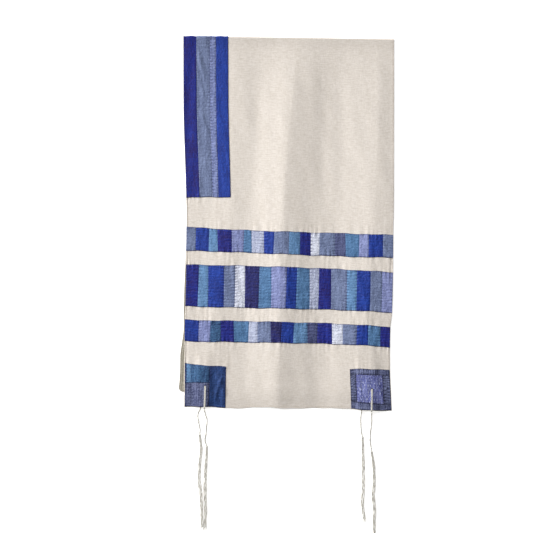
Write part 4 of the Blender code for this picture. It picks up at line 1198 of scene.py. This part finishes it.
# %% Winding, knots and strands
def wound_part(places):
    """The wound cord, which is a core with a helix of thread round it, painted shade for its grooves, and its
    centre line.
    """
    flat, length = smooth_path(np.array(places) * MM, CORD_STEP)
    share = length / length[-1]
    near_knots = [bell((share - knot) * length[-1], KNOT_REACH) for knot in KNOT_PLACES]
    height = OFF_FLOOR + CORE_RADIUS + WINDING + KNOT_LIFT * sum(near_knots) + LAST_KNOT_LIFT * near_knots[-1]
    path = np.column_stack([flat, height])
    angle = np.linspace(0, 2 * math.pi, CORD_SIDES, endpoint=False)[None]
    turned = 2 * math.pi * np.interp(share, KNOT_PLACES, TURNS)[:, None] - angle
    wrapped = (turned + math.pi) % (2 * math.pi) - math.pi
    core = CORE_RADIUS * (1 + 0.06 * np.cos(4 * (angle - 2 * math.pi * length[:, None] / CORE_TWIST)))
    thread = bell(wrapped, 1.25)
    # painted shade: most in the grooves between turns of the winding thread
    return sweep(path, core + WINDING * thread), 0.8 * (1 - thread), path, length


def knot_part(path, length, share, size):
    """A double knot: a thread that goes twice round the cord and crosses over itself."""
    centre = points_at(share * length[-1], length, path)
    before, after = points_at(share * length[-1] + np.array([-MM, MM]), length, path)
    ahead = path[-1] - path[-4] if share == 1.0 else after - before
    ahead = ahead * (1, 1, 0) / np.linalg.norm(ahead[:2])
    wide, high = np.array([ahead[1], -ahead[0], 0]), np.array([0, 0, 1])
    turn = np.linspace(0, 4 * math.pi, KNOT_STEPS, endpoint=False)[:, None]
    out = size * (CORE_RADIUS + 0.5 * MM + 0.42 * MM * np.sin(turn / 2))
    crossing = size * 1.35 * MM * np.cos(turn / 2)
    way = centre + out * (np.cos(turn) * wide + np.sin(turn) * high) + crossing * ahead
    forward = unit(np.roll(way, -1, axis=0) - np.roll(way, 1, axis=0))
    from_centre = way - centre
    rise = unit(from_centre - forward * np.sum(from_centre * forward, axis=1, keepdims=True))
    aside = np.cross(forward, rise)
    angle = np.linspace(0, 2 * math.pi, THREAD_SIDES, endpoint=False)[None, :, None]
    section = rise[:, None] * np.cos(angle) + aside[:, None] * np.sin(angle)
    points = way[:, None] + size * KNOT_THREAD * section
    return points.reshape(-1, 3), ring_faces(KNOT_STEPS, THREAD_SIDES, True)


def strand_part(root, places, number, draw):
    """One loose thread: the tassel's way, moved to its own lane and level, with small bends of its own."""
    flat, length = smooth_path(np.concatenate([[root[:2]], np.array(places) * MM]), STRAND_STEP)
    lane, level = number % 4 - 1.5, number // 4
    reach = 1 - UNEVEN * ((number * 3) % 8)
    share = length / length[-1]
    along = unit(np.gradient(flat, axis=0))
    sideways = np.column_stack([along[:, 1], -along[:, 0]])
    pitch = np.interp(share, (0, 0.5, 1), STRAND_PITCH)
    bends = sum(draw.uniform(0.15, 0.4) * MM * sine(length, wave * MM, draw.uniform(0, 6.3))
                for wave in BEND_LENGTHS)
    flat = flat + sideways * (lane * pitch + ramp(share, 0.0, 0.12) * bends)[:, None]
    rest = OFF_FLOOR + STRAND_RADIUS + level * STRAND_LAYER
    start = root[2] + (level - 0.5) * STRAND_LAYER
    z = rest + (start - rest) * np.exp(-share / SETTLED)
    keep = share <= reach
    path, length = np.column_stack([flat, z])[keep], length[keep]
    plies = two_ply(length, 1.0, draw.uniform(0, 3))
    frayed = 1 + 0.3 * bell((length[-1] - length)[:, None], 1.6 * MM)
    # painted shade where the two plies meet
    return sweep(path, STRAND_RADIUS * plies * frayed), 2.0 * (1 - plies)

print("a wound cord is", round(2 * (CORE_RADIUS + WINDING), 5), "m thick")

# %% Loops through the eyelets
def surface_heights(places, layer_name):
    """Heights of the cloth's middle at plan places: the distance and share there are found by steps."""
    rho_grid = np.linspace(RHO["square_top"], HEM_RHO, 200)
    s_grid = place_on(layer_name, rho_grid)
    share = np.full(len(places), 0.1 if places[0, 0] < 0 else 0.9)
    for _ in range(5):
        y = middle(s_grid, np.repeat(share[None], len(rho_grid), axis=0))[..., 1]
        rho = np.array([np.interp(-place, -y[:, k], rho_grid) for k, place in enumerate(places[:, 1])])
        slip = line_value("slip", rho) if layer_name == "back" else 0
        left, right = line_value("left_x", rho), line_value("right_x", rho)
        share = (places[:, 0] + slip - left) / (right - left)
    return middle(place_on(layer_name, rho), share[:, None])[:, 0, 2]


def loop_parts(layer_name, eyelet, knot):
    """Four threads side by side: from the knot over the cloth, down the eyelet, and back under the cloth."""
    right_side = CLOTH_HALF + SEWN_LIFT + CROWN + LOOP_THREAD + LOOP_AIR
    wrong_side = CLOTH_HALF + LOOP_THREAD + LOOP_AIR
    above, below = (right_side, wrong_side) if layer_name == "front" else (wrong_side, right_side)
    share = np.linspace(0, 1, 24)[:, None]
    way = knot[:2] + share * (eyelet[:2] + (0, 0.4 * MM) - knot[:2])
    heights = surface_heights(way, layer_name)
    over_hem = ramp(share[:, 0], 0.0, 0.12)
    over = np.column_stack([way, knot[2] + over_hem * (heights + above - knot[2])])
    low = np.maximum(heights - below, OFF_FLOOR + LOOP_THREAD)
    under = np.column_stack([way, knot[2] + over_hem * (low - knot[2])])[::-1]
    turn = [over[-1] - (0, 0, LOOP_THREAD), under[0] + (0, 0, LOOP_THREAD)]
    through = np.concatenate([over[1:-1], turn, under[1:-1]])
    path, length = smooth_path(through, LOOP_STEP)
    across = unit(np.array([way[-1, 1] - way[0, 1], way[0, 0] - way[-1, 0], 0.0]))
    spread = 0.8 + 0.2 * np.sin(math.pi * length / length[-1])
    parts = []
    for lane in (-1.5, -0.5, 0.5, 1.5):
        offset = (lane * 2 * LOOP_THREAD * spread)[:, None] * across
        parts.append(sweep(path + offset, two_ply(length, LOOP_THREAD, lane), across))
    return parts

LAST_KNOT_SIZE = 1.25
for number, (name, plan) in enumerate(TASSELS.items()):
    draw = np.random.default_rng(91 + number)
    wound, grooves, path, length = wound_part(plan["wound"])
    knots = [knot_part(path, length, share, LAST_KNOT_SIZE if share == 1.0 else 1.0) for share in KNOT_PLACES]
    loops = loop_parts(EYELETS[name][0], eyelet_at[name], path[0])
    strands, between = zip(*(strand_part(path[-1], plan["strands"], k, draw) for k in range(8)))
    tassel = mesh_piece(f"tassel_{name}_threads", *joined([wound] + knots + loops + list(strands)))
    # painted shade for the yarn: in the winding's grooves and between the plies, and none on knots and loops
    plain = np.zeros(sum(len(points) for points, _ in knots + loops))
    keep_painted_shade(tassel, np.concatenate([grooves.ravel(), plain] + [dark.ravel() for dark in between]))
    dress(tassel, (YARN,), "white_cord", f"tassel_{name}")
    sewn.append(tassel)
    print(tassel.name, len(tassel.data.polygons), "triangles")

# %% [markdown]
# ## Stitches
#
# A running stitch shows as short dashes that dip into the cloth at both ends. The hem has one, in ivory
# thread, and the silks are held by a close zigzag in navy. Each stitch here is a spindle of eight
# triangles, and the hundreds in a row are worked out together from the line they follow.

# %% Rows of stitches
HEM_PITCH = 3.2 * MM
ZIGZAG_PITCH = 1.1 * MM
ZIGZAG_SWAY = 0.85 * MM
STITCH_HALF_WIDTH = 0.2 * MM
SPINDLE = np.array([[-1, 0, 0], [1, 0, 0], [0, -1, 0], [0, 0, 1], [0, 1, 0], [0, 0, -1]], float)
SPINDLE_FACES = np.array([[0, 2, 3], [0, 3, 4], [0, 4, 5], [0, 5, 2],
                          [1, 3, 2], [1, 4, 3], [1, 5, 4], [1, 2, 5]])


def stitches(line, up, pitch, sway):
    """Spindles along a line of points, each as long as most of the pitch; up is the way out of the cloth.

    A zigzag stitch leans to one side and then the other by sway, and a running stitch has none.
    """
    length = run_along(line)
    half = 0.5 * pitch if sway else 0.38 * pitch
    place = np.arange(pitch / 2, length[-1] - half, pitch)
    if not len(place):
        return None
    line = np.column_stack([line[:, :2], np.maximum(line[:, 2], STITCH_HALF_WIDTH)])
    centre, before, after = (points_at(place + move, length, line) for move in (0, -half, half))
    along = unit(after - before)
    side = unit(np.cross(up, along))
    reach = along * half + side * np.where(np.arange(len(place)) % 2, sway, -sway)[:, None]
    thick = unit(np.cross(up, reach)) * STITCH_HALF_WIDTH
    axes = np.stack([reach, thick, 0.9 * STITCH_HALF_WIDTH * np.cross(along, side)], 1)
    points = centre[:, None] + np.einsum("vk,nkd->nvd", SPINDLE, axes)
    faces = SPINDLE_FACES[None] + 6 * np.arange(len(place))[:, None, None]
    return points.reshape(-1, 3), faces.reshape(-1, 3)


def stitch_piece(name, lines, up, thread, slot, pitch, sway=0.0):
    """All the stitches of some lines, as one piece."""
    rows = [row for row in (stitches(line, up, pitch, sway) for line in lines) if row]
    piece = dress(mesh_piece(name, *joined(rows)), (thread,), slot)
    sewn.append(piece)
    print(name, len(piece.data.polygons) // 8, "stitches")

SIDE_UP = {"front": (0.0, 0.0, 1.0), "back": (0.0, 0.0, -1.0)}
for side, lines in top_stitching.items():
    stitch_piece(f"top_stitching_{side}", lines, SIDE_UP[side], BLUE_THREAD, "pieced_blue_silk", ZIGZAG_PITCH,
                 ZIGZAG_SWAY)

# %% The hem's running stitches, where no piece covers them
def bare_stretches(covered, start, end):
    """What is left between start and end once the covered stretches are taken out."""
    bare, here = [], start
    for low, high in sorted(covered):
        if low > here:
            bare.append((here, low))
        here = max(here, high)
    return bare + ([(here, end)] if here < end else [])


def hem_line_points(sign, s_ends, share_ends):
    """Points along a straight stretch of the hem's stitches, on the right side (sign 1) or the wrong side."""
    reach = abs(s_ends[1] - s_ends[0]) + (share_ends[1] - share_ends[0]) * CUT_WIDTH
    count = max(3, int(reach / (4 * MM)))
    lift = sign * (CLOTH_HALF + hem_shape(np.array(STITCH_IN)) + 0.12 * MM)
    places, shares = np.linspace(*s_ends, count), np.linspace(*share_ends, count)
    return sheet_points(places, shares[:, None], lift).reshape(-1, 3)

START, NEAR_END = 4 * MM, HEM_RHO - STITCH_IN
STITCH_SHARE = STITCH_IN / CUT_WIDTH
covered_by_bands = [(RHO[f"{place}_top"], RHO[f"{place}_bottom"]) for place in BANDS]
covered_right = covered_by_bands + [(RHO["square_top"], HEM_RHO)]
covered_left = covered_right + [(0, RHO["neckband_end"])]
covered_below = [(0, COLUMNS["neckband_edge"][2]), (COLUMNS["right_square"][2], 1)]
hem_lines = {f"{face}_{side}": [] for face in ("right", "wrong") for side in ("front", "back")}
for side in ("front", "back"):
    right, wrong = hem_lines[f"right_{side}"], hem_lines[f"wrong_{side}"]
    start, end = place_on(side, START), place_on(side, NEAR_END)
    for share_at, covered in ((STITCH_SHARE, covered_left), (1 - STITCH_SHARE, covered_right)):
        for stretch in bare_stretches(covered, START, NEAR_END):
            right.append(hem_line_points(1, [place_on(side, rho) for rho in stretch], (share_at, share_at)))
        wrong.append(hem_line_points(-1, (start, end), (share_at, share_at)))
    for stretch in bare_stretches(covered_below, STITCH_SHARE, 1 - STITCH_SHARE):
        right.append(hem_line_points(1, (end, end), stretch))
    wrong.append(hem_line_points(-1, (end, end), (STITCH_SHARE, 1 - STITCH_SHARE)))
for name, lines in hem_lines.items():
    up = SIDE_UP["front" if name in ("right_front", "wrong_back") else "back"]
    stitch_piece(f"hem_stitching_{name}", lines, up, HEM_THREAD, "ivory_raw_silk", HEM_PITCH)

# %% [markdown]
# ## Camera, light and floor
#
# The shawl lies on a plain pale floor and is seen from straight above, with a long lens so that all of
# it keeps the same scale. Flat cloth shows its folds only in light that grazes it, so the key lamp is
# low, and it is broad so that shadows are soft. The floor is a lit panel: light from below evens out the
# shadows on it and keeps it pale. A small soft box overhead lifts the middle of the cloth.

# %% Floor
floor_material, _, floor_shader = blank("opal_acrylic_lit_from_below")
floor_shader.inputs["Base Color"].default_value = linear("FAFAF9")
floor_shader.inputs["Roughness"].default_value = 0.9
floor_shader.inputs["Emission Color"].default_value = (1.0, 1.0, 1.0, 1.0)
floor_shader.inputs["Emission Strength"].default_value = 0.62
FLOOR_HALF, FLOOR_Z = 9, -0.0002
corners = [(x * FLOOR_HALF, y * FLOOR_HALF, FLOOR_Z) for x, y in ((-1, -1), (1, -1), (1, 1), (-1, 1))]
floor = mesh_piece("floor", np.array(corners), np.array([[0, 1, 2, 3]]))
floor.data.materials.append(floor_material)
print("floor at", FLOOR_Z, "m")

# %% Lights
scene = bpy.context.scene
scene.view_settings.view_transform = "Standard"
scene.world = bpy.data.worlds.new("studio")
scene.world.use_nodes = True
scene.world.node_tree.nodes["Background"].inputs["Color"].default_value = (1.0, 1.0, 1.0, 1.0)
scene.world.node_tree.nodes["Background"].inputs["Strength"].default_value = 0.11


def far_lamp(name, azimuth, elevation, strength, spread):
    """A far, broad lamp: azimuth is turned left from +X and elevation up from the floor, in degrees."""
    data = bpy.data.lights.new(name, "SUN")
    data.energy = strength
    data.angle = math.radians(spread)
    lamp = bpy.data.objects.new(name, data)
    lamp.rotation_euler = (0.0, math.radians(90 - elevation), math.radians(azimuth))
    scene.collection.objects.link(lamp)


def soft_box(name, place, aim, size, power):
    """A square lamp at a place, turned to face another."""
    data = bpy.data.lights.new(name, "AREA")
    data.energy, data.size = power, size
    lamp = bpy.data.objects.new(name, data)
    lamp.location = place
    lamp.rotation_euler = (Vector(aim) - Vector(place)).to_track_quat("-Z", "Y").to_euler()
    scene.collection.objects.link(lamp)


far_lamp("key", azimuth=155, elevation=19, strength=4.6, spread=24)
far_lamp("head_end", azimuth=92, elevation=33, strength=0.95, spread=28)
soft_box("overhead", place=(-0.2, -0.1, 1.05), aim=(-0.1, -0.12, 0.0), size=0.5, power=3.8)

# %% Camera
VIEW_WIDTH = 1.354                     # metres of floor across the view
VIEW_CENTRE = (-0.0559, -0.2842)
CAMERA_HEIGHT = 5.0
camera_data = bpy.data.cameras.new("camera")
camera_data.sensor_width = 36
camera_data.lens = 36 * CAMERA_HEIGHT / VIEW_WIDTH
camera = bpy.data.objects.new("camera", camera_data)
camera.location = (*VIEW_CENTRE, CAMERA_HEIGHT)
scene.collection.objects.link(camera)
scene.camera = camera
print("lens", round(camera_data.lens, 1), "mm")
